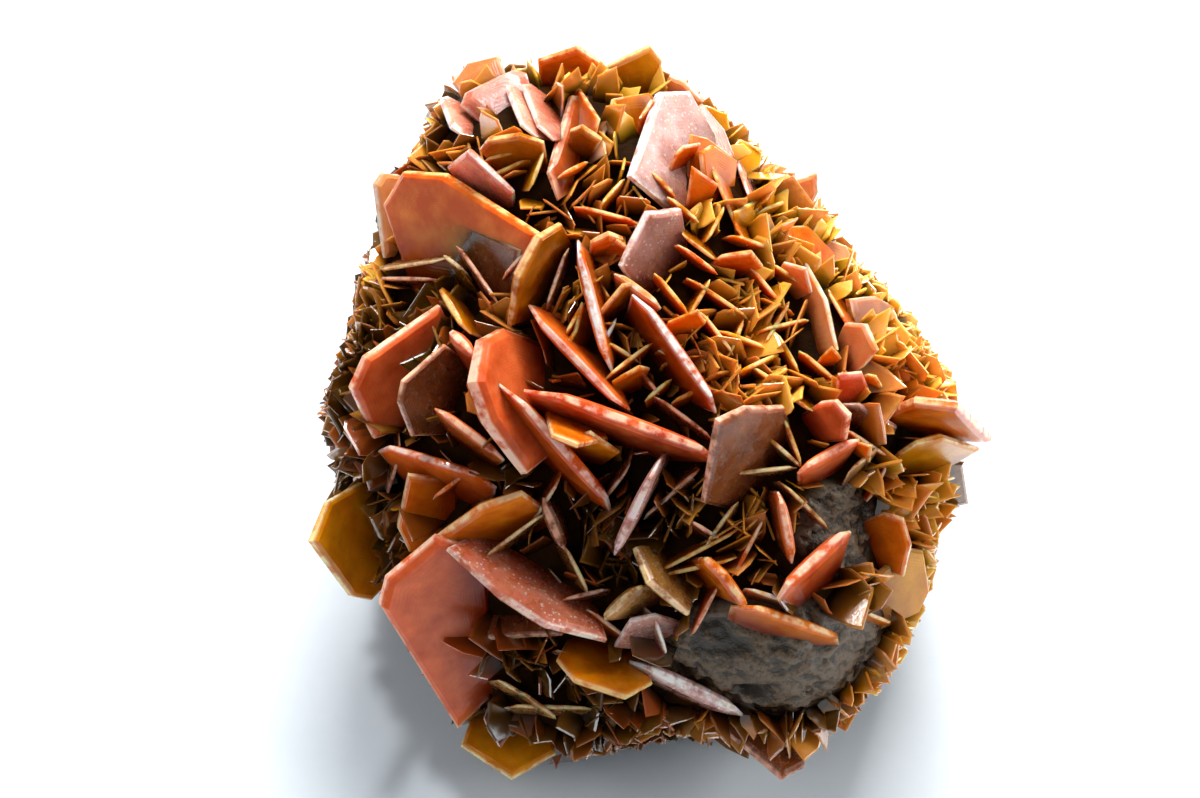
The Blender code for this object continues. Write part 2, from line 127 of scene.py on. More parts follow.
def feed(tree, socket, source):
    """Links another node's output to this input, or keeps a plain value in it."""
    if isinstance(source, bpy.types.NodeSocket):
        tree.links.new(source, socket)
    else:
        socket.default_value = source


def add_node(tree, kind, *feeds, **values):
    """A node of this kind. Among its values a small letter starts the name of a property and a
    capital the name of an input, with underscores for spaces. The feeds go to its inputs in turn."""
    made = tree.nodes.new("ShaderNode" + kind)
    for key, value in values.items():
        if key[0].islower():
            setattr(made, key, value)
        else:
            feed(tree, made.inputs[key.replace("_", " ")], value)
    for socket, value in zip(made.inputs, feeds):
        feed(tree, socket, value)
    return made


def own_place(tree):
    """A point's place on the object's own axes."""
    return add_node(tree, "TexCoord").outputs["Object"]


def noise(tree, scale, detail, roughness):
    """Cloudy noise, from 0 to 1, on the object's own axes."""
    place = own_place(tree)
    made = add_node(tree, "TexNoise", Vector=place, Scale=scale, Detail=detail, Roughness=roughness)
    return made.outputs["Fac"]


def ramp(tree, value, *stops):
    """A colour that runs through these stops, each a value and the colour it has there."""
    made = add_node(tree, "ValToRGB", value)
    elements = made.color_ramp.elements
    for element, (place, colour) in zip((elements[0], elements[-1]), (stops[0], stops[-1])):
        element.position = place
        element.color = (*colour, 1)
    for place, colour in stops[1:-1]:
        elements.new(place).color = (*colour, 1)
    return made.outputs["Color"]


TABLE_REACH = 1.2
TABLE_DROP = 0.02 * MM
table_corners = np.array([(-1, -1, 0), (1, -1, 0), (1, 1, 0), (-1, 1, 0)]) * TABLE_REACH
table = mesh_object("table", table_corners - (0, 0, TABLE_DROP), np.array([(0, 1, 2, 3)]))
paper, paper_tree, paper_shader = new_material("table_paper")
paper_tone = ramp(paper_tree, noise(paper_tree, 900.0, 3.0, 0.5),
                  (0.0, (0.72, 0.80, 0.87)), (1.0, (0.76, 0.835, 0.90)))
feed(paper_tree, paper_shader.inputs["Base Color"], paper_tone)
paper_shader.inputs["Roughness"].default_value = 0.75
table.data.materials.append(paper)

# The matrix: a lump of dark, limonite-stained rock that the crystals grew on, broken off its
# vein by hand. Its outline is a closed curve, domed to the front and to the back, with dents and
# bosses, and it is flat where it rests. It is bare and glassy at the lower right.
OUTLINE = np.array([19.6, 17.9, 16.8, 17.2, 21.0, 23.2, 26.0, 21.7, 20.9,
                    21.7, 21.0, 20.4, 24.2, 23.5, 22.3, 24.5, 23.1, 20.8]) * MM
FRONT_DOME = 12.5 * MM
BACK_DOME = 18.0 * MM
DOME_POWER = 2.05
SWELL = 0.7 * MM
SWELL_WAVES = 5.0
# Each dent's pixel, radius and depth in mm; a boss has a negative depth
HOLLOWS = (
    ((600, 560), 4.5, 2.6),
    ((585, 690), 5.0, 2.2),
    ((420, 290), 4.0, 1.8),
    ((370, 470), 3.5, 1.6),
    ((790, 640), 5.0, -1.4),
    ((540, 400), 6.0, -1.2),
)
MATRIX_RINGS = 190
MATRIX_AROUND = 400
# The bare corner's patches, each a pixel and a radius in mm
BARE_PATCHES = (
    ((775, 670), 5.4), ((845, 655), 3.8), ((695, 670), 3.2), ((842, 530), 3.4), ((720, 640), 2.6))
# Its folds are drawn out along one way, and the second, finer set along a way turned by this
FOLD_TURN = np.array([[0.8, 0.6, 0.0], [-0.6, 0.8, 0.0], [0.0, 0.0, 1.0]])
FOLD_HEIGHT = 0.55 * MM
FOLD_STEEPNESS = 2.6
FOLD_TOP = 0.7
# The rock's lumps: the size and the height of each set
ROUGHNESS = ((1.6 * MM, 0.10 * MM), (0.7 * MM, 0.07 * MM), (0.32 * MM, 0.05 * MM))
ROCK_SUNK = 0.25 * MM
HOLE_PIXEL = (757, 695)
HOLE_RADIUS = 0.95 * MM
HOLE_DEPTH = 1.5 * MM


def unit(vectors):
    """Each vector over its length."""
    return vectors / np.linalg.norm(vectors, axis=-1, keepdims=True)


def world_from_face(points):
    """The face's middle plus each coordinate times its axis: across, up and out."""
    return FACE_MIDDLE + np.asarray(points) @ FACE_AXES


def sight_point(pixel, depth):
    """The pixel's offset from the middle one, in metres, shrunk as the point nears the camera."""
    across, down = (np.asarray(pixel, float) - MIDDLE_PIXEL) * PIXEL
    nearer = 1 - depth / VIEW_DISTANCE
    return np.array([across * nearer, -down * nearer, depth])


def pixels_of(points):
    """The pixel that each point is seen at: its offset, grown as the point nears the camera."""
    nearer = 1 - points[:, 2:] / VIEW_DISTANCE
    return MIDDLE_PIXEL + points[:, :2] / nearer * (1, -1) / PIXEL


def outline_radius(angle):
    """The outline as a closed cubic curve that passes through its evenly spaced radii."""
    place = np.mod(angle / (2 * math.pi), 1) * len(OUTLINE)
    first = np.floor(place).astype(int)
    part = place - first
    before, start, end, after = (OUTLINE[(first + step) % len(OUTLINE)] for step in (-1, 0, 1, 2))
    bend = 2 * before - 5 * start + 4 * end - after + part * (3 * (start - end) + after - before)
    return start + 0.5 * part * (end - before + part * bend)


def smooth_dome(directions):
    """A superellipse in each direction between the outline's radius and the dome's height."""
    rim = outline_radius(np.arctan2(directions[:, 1], directions[:, 0]))
    out = directions[:, 2]
    level = np.sqrt(np.clip(1 - out**2, 0, 1))
    dome = np.where(out > 0, FRONT_DOME, BACK_DOME)
    return ((level / rim) ** DOME_POWER + (np.abs(out) / dome) ** DOME_POWER) ** (-1 / DOME_POWER)


def swell(directions):
    """A third of the swell times the sum of nine sine waves along seeded random directions."""
    rng = np.random.default_rng(7)
    waves = rng.normal(size=(9, 3)) * SWELL_WAVES
    phases = rng.uniform(0, 2 * math.pi, 9)
    return SWELL * np.sin(directions @ waves.T + phases).sum(axis=1) / 3


def height_over(points, radius_of):
    """Each point's distance from the middle, less the lump's radius in its direction."""
    return np.linalg.norm(points, axis=-1) - radius_of(unit(points))


def depth_over(pixel, radius_of):
    """How far out the lump's surface is at a pixel, found by halving; 0 outside its outline."""
    low, high = 0.0, 2 * FRONT_DOME
    if height_over(sight_point(pixel, low)[None] + 1e-9, radius_of)[0] > 0:
        return 0.0
    for _ in range(24):
        middle = (low + high) / 2
        outside = height_over(sight_point(pixel, middle)[None], radius_of)[0] > 0
        low, high = (low, middle) if outside else (middle, high)
    return low


DENTS = [(sight_point(pixel, depth_over(pixel, smooth_dome)), radius * MM, depth * MM)
         for pixel, radius, depth in HOLLOWS]


def cut_at_floor(directions, radius):
    """Each radius, or where that would be below the floor, the distance to it."""
    falling = -(directions @ FACE_AXES)[:, 2]
    return np.minimum(radius, FACE_MIDDLE[2] / np.maximum(falling, 1e-6))


def matrix_radius(directions):
    """The dome plus its swell, less a bell-shaped dent for each hollow, cut off at the floor."""
    radius = smooth_dome(directions) + swell(directions)
    for middle, reach, depth in DENTS:
        away = np.linalg.norm(directions * radius[:, None] - middle, axis=1)
        radius = radius - depth * np.exp(-((away / reach) ** 2))
    return cut_at_floor(directions, radius)


def lumps(points, size, seed):
    """Smooth noise from -1 to 1: random values on a lattice of this size, blended between."""
    values = np.random.default_rng(seed).uniform(-1, 1, (32, 32, 32))
    place = points / size
    cell = np.floor(place).astype(int)
    part = place - cell
    part = part * part * (3 - 2 * part)
    total = np.zeros(len(points))
    for corner in np.ndindex(2, 2, 2):
        weight = np.prod(np.where(np.array(corner) == 1, part, 1 - part), axis=1)
        at = (cell + corner) % 32
        total += weight * values[at[:, 0], at[:, 1], at[:, 2]]
    return total


def bare_share(points):
    """How bare the rock is: 1 inside any bare patch, falling to 0 over its ragged edge."""
    share = np.zeros(len(points))
    for pixel, radius in BARE_PATCHES:
        middle = sight_point(pixel, depth_over(pixel, matrix_radius))
        away = np.linalg.norm(points - middle, axis=1) / (radius * MM) + 0.12 * lumps(points, 1.3 * MM, 3)
        share = np.maximum(share, np.clip((1.08 - away) / 0.16, 0, 1))
    return share


def fold_height(points, size, seed):
    """Level folds with a sharp groove wherever a noise of this size crosses nothing, from minus
    half the folds' top to plus half."""
    return np.minimum(FOLD_STEEPNESS * np.abs(lumps(points, size, seed)), FOLD_TOP) - FOLD_TOP / 2


def closed_faces(rows, around):
    """The faces of a closed surface: quads between one ring of points and the next, and triangles
    from the first and the last ring to a point of their own, the last two points."""
    one = np.arange(around)
    two = (one + 1) % around
    start = np.arange(rows - 1)[:, None] * around
    quads = np.stack([start + one, start + around + one, start + around + two, start + two], axis=-1)
    top = (rows - 1) * around
    caps = np.vstack([
        np.stack([np.full(around, rows * around), one, two], axis=1),
        np.stack([np.full(around, rows * around + 1), top + two, top + one], axis=1),
    ])
    return quads.reshape(-1, 4), caps


def rock_surface(rings, around):
    """The lump in even steps of angle down from its front pole and around it. Its radius is sunk a
    little, lumps of three sizes and on its bare part two sets of folds are added, and the hole is
    taken off. Also how bare each point is, and its place between fold (1) and groove (-1), held at
    groove in the hole, from which the rock paints shade in the grooves and the hole."""
    polar = np.linspace(0, math.pi, rings + 1)[1:-1]
    turn = np.arange(around) * 2 * math.pi / around
    polar, turn = np.meshgrid(polar, turn, indexing="ij")
    directions = np.stack([
        np.sin(polar) * np.cos(turn), np.sin(polar) * np.sin(turn), np.cos(polar),
    ], axis=-1).reshape(-1, 3)
    directions = np.vstack([directions, (0, 0, 1), (0, 0, -1)])
    radius = matrix_radius(directions)
    points = directions * radius[:, None]
    bare = bare_share(points)
    drift = points + np.stack([lumps(points, 2.2 * MM, seed) for seed in (17, 18, 19)], axis=1) * 1.1 * MM
    folds = fold_height(drift * (0.5, 1.6, 1), 1.1 * MM, 11)
    folds += 0.5 * fold_height(drift @ FOLD_TURN * (0.5, 1.7, 1), 0.6 * MM, 12)
    rough = sum(height * lumps(points, size, seed) for seed, (size, height) in enumerate(ROUGHNESS, 13))
    hole = sight_point(HOLE_PIXEL, depth_over(HOLE_PIXEL, matrix_radius))
    away = np.linalg.norm((points - hole) * (1, 1.5, 1), axis=1) / HOLE_RADIUS
    hollow = np.exp(-((away * (1 + 0.25 * lumps(points, 0.8 * MM, 16))) ** 4))
    radius = radius - ROCK_SUNK + rough + bare * FOLD_HEIGHT * folds - HOLE_DEPTH * hollow
    radius = cut_at_floor(directions, radius)
    # The hole is pushed to groove so that painted shade falls in it
    return directions * radius[:, None], bare, np.clip(folds / 0.5 - 2 * hollow, -1, 1)


def store(mesh, name, values):
    """Keeps one number for each vertex under this name, for a material to read."""
    mesh.attributes.new(name, "FLOAT", "POINT").data.foreach_set("value", np.asarray(values, np.float32))


def stored(tree, name):
    """The number that the mesh keeps under this name."""
    return add_node(tree, "Attribute", attribute_name=name).outputs["Fac"]


def spread(tree, value, low, high, bottom=0.0, top=1.0):
    """A value carried from the range low to high onto the range bottom to top, and held there."""
    made = add_node(tree, "MapRange", Value=value, From_Min=low, From_Max=high, To_Min=bottom, To_Max=top)
    return made.outputs["Result"]


def math_node(tree, operation, *feeds):
    """The result of this operation on these values."""
    return add_node(tree, "Math", *feeds, operation=operation).outputs["Value"]


def mixed(tree, share, first, second, blend="MIX"):
    """The first colour, blended with the second by this share."""
    made = add_node(tree, "Mix", data_type="RGBA", blend_type=blend, Factor=share, A=first, B=second)
    return made.outputs["Result"]


def dark_rock():
    """Stained rock: a dull brown crust and, where it is bare, a glossy coat, brown on the folds and
    black with painted shade in the grooves and the hole."""
    material, tree, shader = new_material("dark_rock")
    speck = noise(tree, 2600.0, 4.0, 0.65)
    crust = ramp(tree, noise(tree, 420.0, 4.0, 0.6),
                 (0.30, (0.005, 0.002, 0.0006)), (0.74, (0.034, 0.012, 0.002)))
    bare = stored(tree, "bare")
    # Painted shade: the coat is black in the grooves and in the hole, and brown on the folds
    height = math_node(tree, "MULTIPLY", spread(tree, stored(tree, "fold"), -0.9, 0.8), speck)
    coat = ramp(tree, math_node(tree, "MULTIPLY", height, 2.0),
                (0.30, (0.006, 0.004, 0.003)), (0.66, (0.024, 0.015, 0.008)), (1.0, (0.105, 0.066, 0.036)))
    fine = add_node(tree, "Bump", Strength=0.7, Distance=0.00014, Height=speck)
    feed(tree, shader.inputs["Base Color"], mixed(tree, bare, crust, coat))
    feed(tree, shader.inputs["Roughness"], spread(tree, bare, 0.0, 1.0, 0.62, 0.24))
    feed(tree, shader.inputs["Specular IOR Level"], spread(tree, bare, 0.0, 1.0, 0.03, 0.50))
    feed(tree, shader.inputs["Normal"], fine.outputs["Normal"])
    shader.inputs["Specular Tint"].default_value = (1.0, 0.86, 0.72, 1)
    return material


rock_points, rock_bare, rock_folds = rock_surface(MATRIX_RINGS, MATRIX_AROUND)
rock_faces = closed_faces(MATRIX_RINGS - 1, MATRIX_AROUND)
rock = mesh_object("matrix_rock", world_from_face(rock_points), *rock_faces)
store(rock.data, "bare", rock_bare)
store(rock.data, "fold", rock_folds)
rock.data.shade_smooth()
rock.data.materials.append(dark_rock())
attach(rock, "root")
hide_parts("matrix")

# The big crystals: tabular wulfenite plates, square to eight-sided, translucent and brittle.
# Each grew edge on from the matrix, so its root is buried in it. The bevelled rims are pale
# and bright, partly their own colour and partly painted highlight, and the broad faces are stepped
# where one growth layer stopped on another.
ROOT = 0.9 * MM
DEEPEST_DIP = 8.0 * MM
DIP_STEP = 0.2 * MM
TAPER = 0.14
CORNER = 0.13
# How much thinner a plate's ends are than its middle, for a straight rim and for a cornered one
THIN_ENDS = (0.62, 0.25)
RIM_POINTS = 72
FACE_RINGS = 13
# The height of a plate's rim and the width of its bevel, in halves of its thickness, and the
# rings of the bevel and the first one of the face, in bevels from the rim
RIM_LEVEL = 0.42
BEVEL = 0.55
BEVEL_RINGS = np.array([0, 0.35, 0.8, 1.0, 1.5, 2.2])
FIRST_FACE_RING = 2.9
# The nicks of a rim: size and depth of the fine ones, and of the rarer coarse ones
FINE_NICK = (0.55 * MM, 0.035 * MM)
COARSE_NICK = (1.5 * MM, 0.10 * MM)
COARSE_NICK_LEVEL = 0.45
# The growth steps of a face: how many, how deep in halves of the thickness, how wide each slope
# is, and how far and over what size they wander
GROWTH_STEPS = 3
STEP_DEPTH = (0.02, 0.07)
STEP_SLOPE = 0.05 * MM
STEP_WANDER = 0.25 * MM
WANDER_SIZE = 0.9 * MM
PLATES = []


def plate_frame(rim, foot, rise, sunk):
    """The plate's plane through its rim's ends and its foot, as a point and two unit vectors, with
    the rim's pixels carried along their lines of sight onto it."""
    first, last, low = (
        sight_point(pixel, depth_over(pixel, matrix_radius) + stand * MM)
        for pixel, stand in zip((rim[0], rim[-1], foot), (*rise, -sunk))
    )
    along = unit(last - first)
    dip = unit(low - first - along * ((low - first) @ along))
    across = np.cross(along, dip)
    eye = np.array([0.0, 0.0, VIEW_DISTANCE])
    sights = np.array([sight_point(pixel, 0.0) for pixel in rim]) - eye
    reach = ((first - eye) @ across) / (sights @ across)
    points = eye + sights * reach[:, None] - first
    return first, along, dip, np.stack([points @ along, points @ dip], axis=1)


def plate_depth(first, along, dip, length):
    """The first step down the plane where two of three lines are well inside the lump."""
    steps = np.arange(DIP_STEP, DEEPEST_DIP, DIP_STEP)
    starts = first + np.outer((0.2, 0.5, 0.8), along) * length
    points = starts[None] + steps[:, None, None] * dip
    buried = height_over(points.reshape(-1, 3), matrix_radius).reshape(len(steps), 3) < -ROOT
    rooted = np.flatnonzero(buried.sum(axis=1) >= 2)
    return steps[rooted[0]] if len(rooted) else DEEPEST_DIP


def plate_outline(rim, depth):
    """The rim, then the root's two corners. A rim of one straight edge has its corners cut."""
    length = rim[-1, 0]
    taper = TAPER * length
    if len(rim) == 2:
        cut = CORNER * length
        rim = np.array([(0, cut), (cut, 0), (length - cut, 0), (length, cut)])
    return np.vstack([rim, (length - taper, depth), (taper, depth)])


def walked(outline, count):
    """A closed outline as this many points in equal steps, the nearest ones moved to its corners."""
    sides = np.roll(outline, -1, axis=0) - outline
    lengths = np.linalg.norm(sides, axis=1)
    ends = np.concatenate([[0], np.cumsum(lengths)])
    steps = np.arange(count) * ends[-1] / count
    nearest = np.round(ends[:-1] / ends[-1] * count).astype(int) % count
    steps[nearest] = ends[:-1]
    side = np.clip(np.searchsorted(ends, steps, side="right") - 1, 0, len(sides) - 1)
    return outline[side] + sides[side] * ((steps - ends[side]) / lengths[side])[:, None]


def crystal_plate(rim, foot, rise, thick, seed, around=RIM_POINTS, rings=FACE_RINGS, sunk=0):
    """A closed plate. Around it runs the outline, nicked by noise; across it run rings that shrink
    from the outline to the middle of each face. Their height is a bevel at the rim, and then half
    the thickness less a few small steps, each a smooth stair of the distance from the rim; all of
    it shrinks towards the two ends."""
    first, along, dip, flat_rim = plate_frame(rim, foot, rise, sunk)
    outline = plate_outline(flat_rim, plate_depth(first, along, dip, flat_rim[-1, 0]))
    PLATES.append((first, along, dip, outline, thick * MM / 2))
    rng = np.random.default_rng(seed)
    edge = walked(outline, around)
    middle = outline.mean(axis=0)
    inner = np.linalg.norm(edge - middle, axis=1).min()
    half = thick * MM / 2
    fine = lumps(np.column_stack([edge, np.full(around, seed * 0.01)]), FINE_NICK[0], 21)
    coarse = lumps(np.column_stack([edge, np.full(around, seed * 0.02)]), COARSE_NICK[0], 22)
    nick = FINE_NICK[1] * np.minimum(fine, 0) + COARSE_NICK[1] * np.minimum(coarse + COARSE_NICK_LEVEL, 0)
    edge = edge + unit(edge - middle) * nick[:, None]
    bevel = min(BEVEL * half, 0.4 * inner)
    face_rings = np.linspace(FIRST_FACE_RING * bevel, inner, rings - len(BEVEL_RINGS))[:-1]
    inwards = np.minimum(np.concatenate([BEVEL_RINGS * bevel, face_rings]), 0.97 * inner)
    shrink = 1 - inwards / inner
    rise_up = np.interp(inwards, [0, bevel, inner], [RIM_LEVEL * half, half, half])
    sheets = []
    for side in (-1, 1):
        stops = np.sort(rng.uniform(1.6 * bevel, 0.9 * inner, GROWTH_STEPS))
        drops = rng.uniform(*STEP_DEPTH, GROWTH_STEPS) * half
        drops = drops * rng.choice((-1, 1), GROWTH_STEPS, p=(0.35, 0.65))
        ring = middle + (edge - middle)[None] * shrink[:, None, None]
        wander = lumps(np.column_stack([ring.reshape(-1, 2), np.full(ring.size // 2, seed * 0.03)]),
                       WANDER_SIZE, 23 + side).reshape(len(shrink), -1)
        place = inwards[:, None] + STEP_WANDER * wander * np.clip(inwards / inner * 3, 0, 1)[:, None]
        stairs = sum(drop / (1 + np.exp(-(place - stop) / STEP_SLOPE)) for stop, drop in zip(stops, drops))
        height = np.minimum(rise_up[:, None] - stairs + 0.010 * half * wander, half)
        sheets.append((ring, side * height, np.broadcast_to(inwards[:, None], height.shape)))
    (low, low_height, low_in), (high, high_height, high_in) = sheets
    flat = np.concatenate([low[::-1].reshape(-1, 2), high.reshape(-1, 2), [middle, middle]])
    height = np.concatenate([low_height[::-1].ravel(), high_height.ravel(), [-0.95 * half, 0.95 * half]])
    inset = np.concatenate([low_in[::-1].ravel(), high_in.ravel(), [inner, inner]])
    ends = np.abs(2 * flat[:, 0] / flat_rim[-1, 0] - 1)
    height = height * (1 - THIN_ENDS[len(rim) > 2] * np.minimum(ends, 1) ** 2.5)
    across = np.cross(along, dip)
    points = world_from_face(first + flat[:, :1] * along + flat[:, 1:] * dip + height[:, None] * across)
    quads, caps = closed_faces(2 * len(shrink), around)
    return points, quads[:, [0, 3, 2, 1]], caps[:, [0, 2, 1]], inset / MM, flat[:, 1] / outline[-1, 1]


def growth_skin():
    """The skin that all the crystals share. Colour: cloudy between a deep and a pale one, with a
    rim of its own that is partly painted highlight, sugary grains with painted glints, and painted
    shade towards the root. Roughness: frosted in patches off the rim. Height: growth lines level
    with the rim, and sugar."""
    group = bpy.data.node_groups.new("growth_skin", "ShaderNodeTree")
    for kind, names in (("NodeSocketColor", ("Deep", "Pale", "Rim")),
                        ("NodeSocketFloat", ("Rim Width", "Frost", "Gloss", "Sparkle"))):
        for name in names:
            group.interface.new_socket(name, in_out="INPUT", socket_type=kind)
    for name, kind in (("Color", "NodeSocketColor"), ("Roughness", "NodeSocketFloat"),
                       ("Height", "NodeSocketFloat")):
        group.interface.new_socket(name, in_out="OUTPUT", socket_type=kind)
    given = group.nodes.new("NodeGroupInput").outputs
    asked = group.nodes.new("NodeGroupOutput").inputs
    cloud = noise(group, 520.0, 5.0, 0.6)
    patch = spread(group, noise(group, 900.0, 4.0, 0.6), 0.38, 0.56)
    inset = stored(group, "inset")
    edge = spread(group, inset, 0.0, given["Rim Width"], 1.0, 0.0)

    cloudy = math_node(group, "ADD", spread(group, cloud, 0.28, 0.76), stored(group, "tone"))
    colour = mixed(group, cloudy, given["Deep"], given["Pale"])
    # The rim: partly its own paler colour and partly painted highlight
    colour = mixed(group, math_node(group, "MULTIPLY", edge, patch), colour, given["Rim"])
    # Sugary grains, each painted with a pale glint in the frosted patches
    grain = add_node(group, "TexVoronoi", Vector=own_place(group), Scale=3000.0).outputs["Distance"]
    painted_glint = math_node(group, "MULTIPLY", spread(group, grain, 0.30, 0.18), given["Sparkle"])
    colour = mixed(group, math_node(group, "MULTIPLY", painted_glint, patch), colour, (0.95, 0.84, 0.74, 1))
    # Painted shade: each plate darker towards its buried root
    painted_root_shade = spread(group, stored(group, "depth"), 0.08, 0.75)
    feed(group, asked["Color"], mixed(group, painted_root_shade, colour, (0.34, 0.17, 0.09, 1), "MULTIPLY"))

    matt = add_node(group, "Math", patch, edge, operation="SUBTRACT", use_clamp=True).outputs["Value"]
    frost = math_node(group, "MULTIPLY", matt, given["Frost"])
    feed(group, asked["Roughness"], math_node(group, "MULTIPLY_ADD", frost, 0.45, given["Gloss"]))

    bends = math_node(group, "MULTIPLY", cloud, 14.0)
    lines = math_node(group, "SINE", math_node(group, "MULTIPLY_ADD", inset, 34.0, bends))
    sugar = math_node(group, "MULTIPLY", noise(group, 5200.0, 3.0, 0.7), given["Frost"])
    feed(group, asked["Height"], math_node(group, "MULTIPLY_ADD", lines, 0.12, sugar))
    return group


SKIN = growth_skin()
FINISHES = {}


def crystal_finish(name, deep, pale, rim, clear, frost=0.4, rim_width=0.13, sparkle=0.0, shine=0.4):
    """A translucent crystal material: the shared skin over see-through crystal of this clearness,
    and how much its surface mirrors."""
    material, tree, shader = new_material(name)
    skin = add_node(tree, "Group", node_tree=SKIN, Deep=(*deep, 1), Pale=(*pale, 1), Rim=(*rim, 1),
                    Rim_Width=rim_width, Frost=frost, Gloss=0.07, Sparkle=sparkle).outputs
    relief = add_node(tree, "Bump", Strength=0.5, Distance=0.00006, Height=skin["Height"])
    feed(tree, shader.inputs["Base Color"], skin["Color"])
    feed(tree, shader.inputs["Roughness"], skin["Roughness"])
    feed(tree, shader.inputs["Normal"], relief.outputs["Normal"])
    shader.inputs["IOR"].default_value = 1.55
    shader.inputs["Specular IOR Level"].default_value = shine
    shader.inputs["Subsurface Weight"].default_value = 0.8
    shader.inputs["Subsurface Radius"].default_value = (1.0, 0.32, 0.10)
    shader.inputs["Subsurface Scale"].default_value = 1.0 * MM
    shader.inputs["Transmission Weight"].default_value = clear
    shader.inputs["Metallic"].default_value = 0.0
    FINISHES[name] = material


def crystal_object(name, members, around=RIM_POINTS, rings=FACE_RINGS, sunk=0):
    """One object of these plates, each a closed surface with its own finish and tone. It keeps how
    far each point is from the rim in mm, and its share of the way down to the root."""
    finishes = list(dict.fromkeys(member[-1] for member in members))
    points, quads, caps, inset, depths, tones, quad_finish, cap_finish = [], [], [], [], [], [], [], []
    count = 0
    for rim, foot, rise, thick, finish in members:
        seed = int(rim[0][0] * 7 + rim[0][1])
        made, four, three, away, deep = crystal_plate(rim, foot, rise, thick, seed, around, rings, sunk)
        points.append(made)
        quads.append(four + count)
        caps.append(three + count)
        inset.append(away)
        depths.append(deep)
        tones.append(np.full(len(made), np.random.default_rng(seed).uniform(-0.28, 0.22)))
        quad_finish += [finishes.index(finish)] * len(four)
        cap_finish += [finishes.index(finish)] * len(three)
        count += len(made)
    made = mesh_object(name, np.vstack(points), np.vstack(quads), np.vstack(caps))
    made.data.polygons.foreach_set("material_index", quad_finish + cap_finish)
    store(made.data, "inset", np.concatenate(inset))
    store(made.data, "depth", np.concatenate(depths))
    store(made.data, "tone", np.concatenate(tones))
    for finish in finishes:
        made.data.materials.append(FINISHES[finish])
    made.data.shade_smooth()
    made.data.set_sharp_from_angle(angle=math.radians(24))
    return made


def set_crystals(pieces):
    """Makes each of these pieces, and puts it in its node's place."""
    for node, members in pieces.items():
        made = crystal_object(node + "_crystal", members)
        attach(made, "root")
        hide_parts(node)


# Each finish's deep, pale and rim colours and its clearness; the rim colour is partly the rim's own paler
# colour and partly painted highlight
crystal_finish("salmon", (0.50, 0.060, 0.008), (0.86, 0.19, 0.050), (1.0, 0.58, 0.42), 0.15, shine=0.25)
crystal_finish("ember", (0.40, 0.040, 0.003), (0.80, 0.16, 0.014), (1.0, 0.66, 0.56), 0.15, frost=0.2,
               shine=0.3)
crystal_finish("frosted", (0.56, 0.130, 0.055), (0.90, 0.38, 0.24), (1.0, 0.76, 0.66), 0.12, frost=1.0,
               sparkle=0.85)
# A finish whose rim is painted near-white as a glint
crystal_finish("painted_glint_rim", (0.50, 0.070, 0.003), (0.84, 0.19, 0.012), (1.0, 0.95, 0.92), 0.20, frost=0.2,
               rim_width=0.16)
crystal_finish("shelf", (0.58, 0.085, 0.004), (0.92, 0.25, 0.030), (1.0, 0.52, 0.20), 0.05, frost=0.3,
               shine=0.08)
crystal_finish("orange", (0.56, 0.095, 0.002), (0.92, 0.27, 0.010), (1.0, 0.64, 0.34), 0.15, frost=0.2,
               shine=0.3)
crystal_finish("amber", (0.42, 0.110, 0.001), (0.80, 0.28, 0.004), (1.0, 0.66, 0.28), 0.22, frost=0.2)
crystal_finish("gold", (0.60, 0.220, 0.002), (0.94, 0.43, 0.012), (1.0, 0.74, 0.36), 0.22, frost=0.2)
crystal_finish("peach", (0.76, 0.26, 0.070), (0.95, 0.47, 0.20), (1.0, 0.80, 0.64), 0.30)
crystal_finish("pink", (0.64, 0.17, 0.090), (0.94, 0.42, 0.30), (1.0, 0.84, 0.78), 0.20, frost=0.6)
crystal_finish("mauve", (0.34, 0.130, 0.090), (0.66, 0.36, 0.30), (1.0, 0.82, 0.78), 0.12, frost=1.0,
               sparkle=0.6)
crystal_finish("lilac", (0.42, 0.190, 0.150), (0.80, 0.56, 0.52), (1.0, 0.92, 0.92), 0.12, frost=1.0,
               rim_width=0.25, sparkle=0.8)
crystal_finish("rust", (0.34, 0.045, 0.004), (0.66, 0.16, 0.025), (1.0, 0.60, 0.42), 0.20, frost=0.3)
crystal_finish("tan", (0.24, 0.095, 0.012), (0.54, 0.26, 0.060), (0.95, 0.68, 0.38), 0.10, frost=0.8,
               sparkle=0.4)
crystal_finish("brown", (0.11, 0.026, 0.005), (0.34, 0.100, 0.026), (0.86, 0.48, 0.34), 0.15, frost=0.6,
               sparkle=0.2)

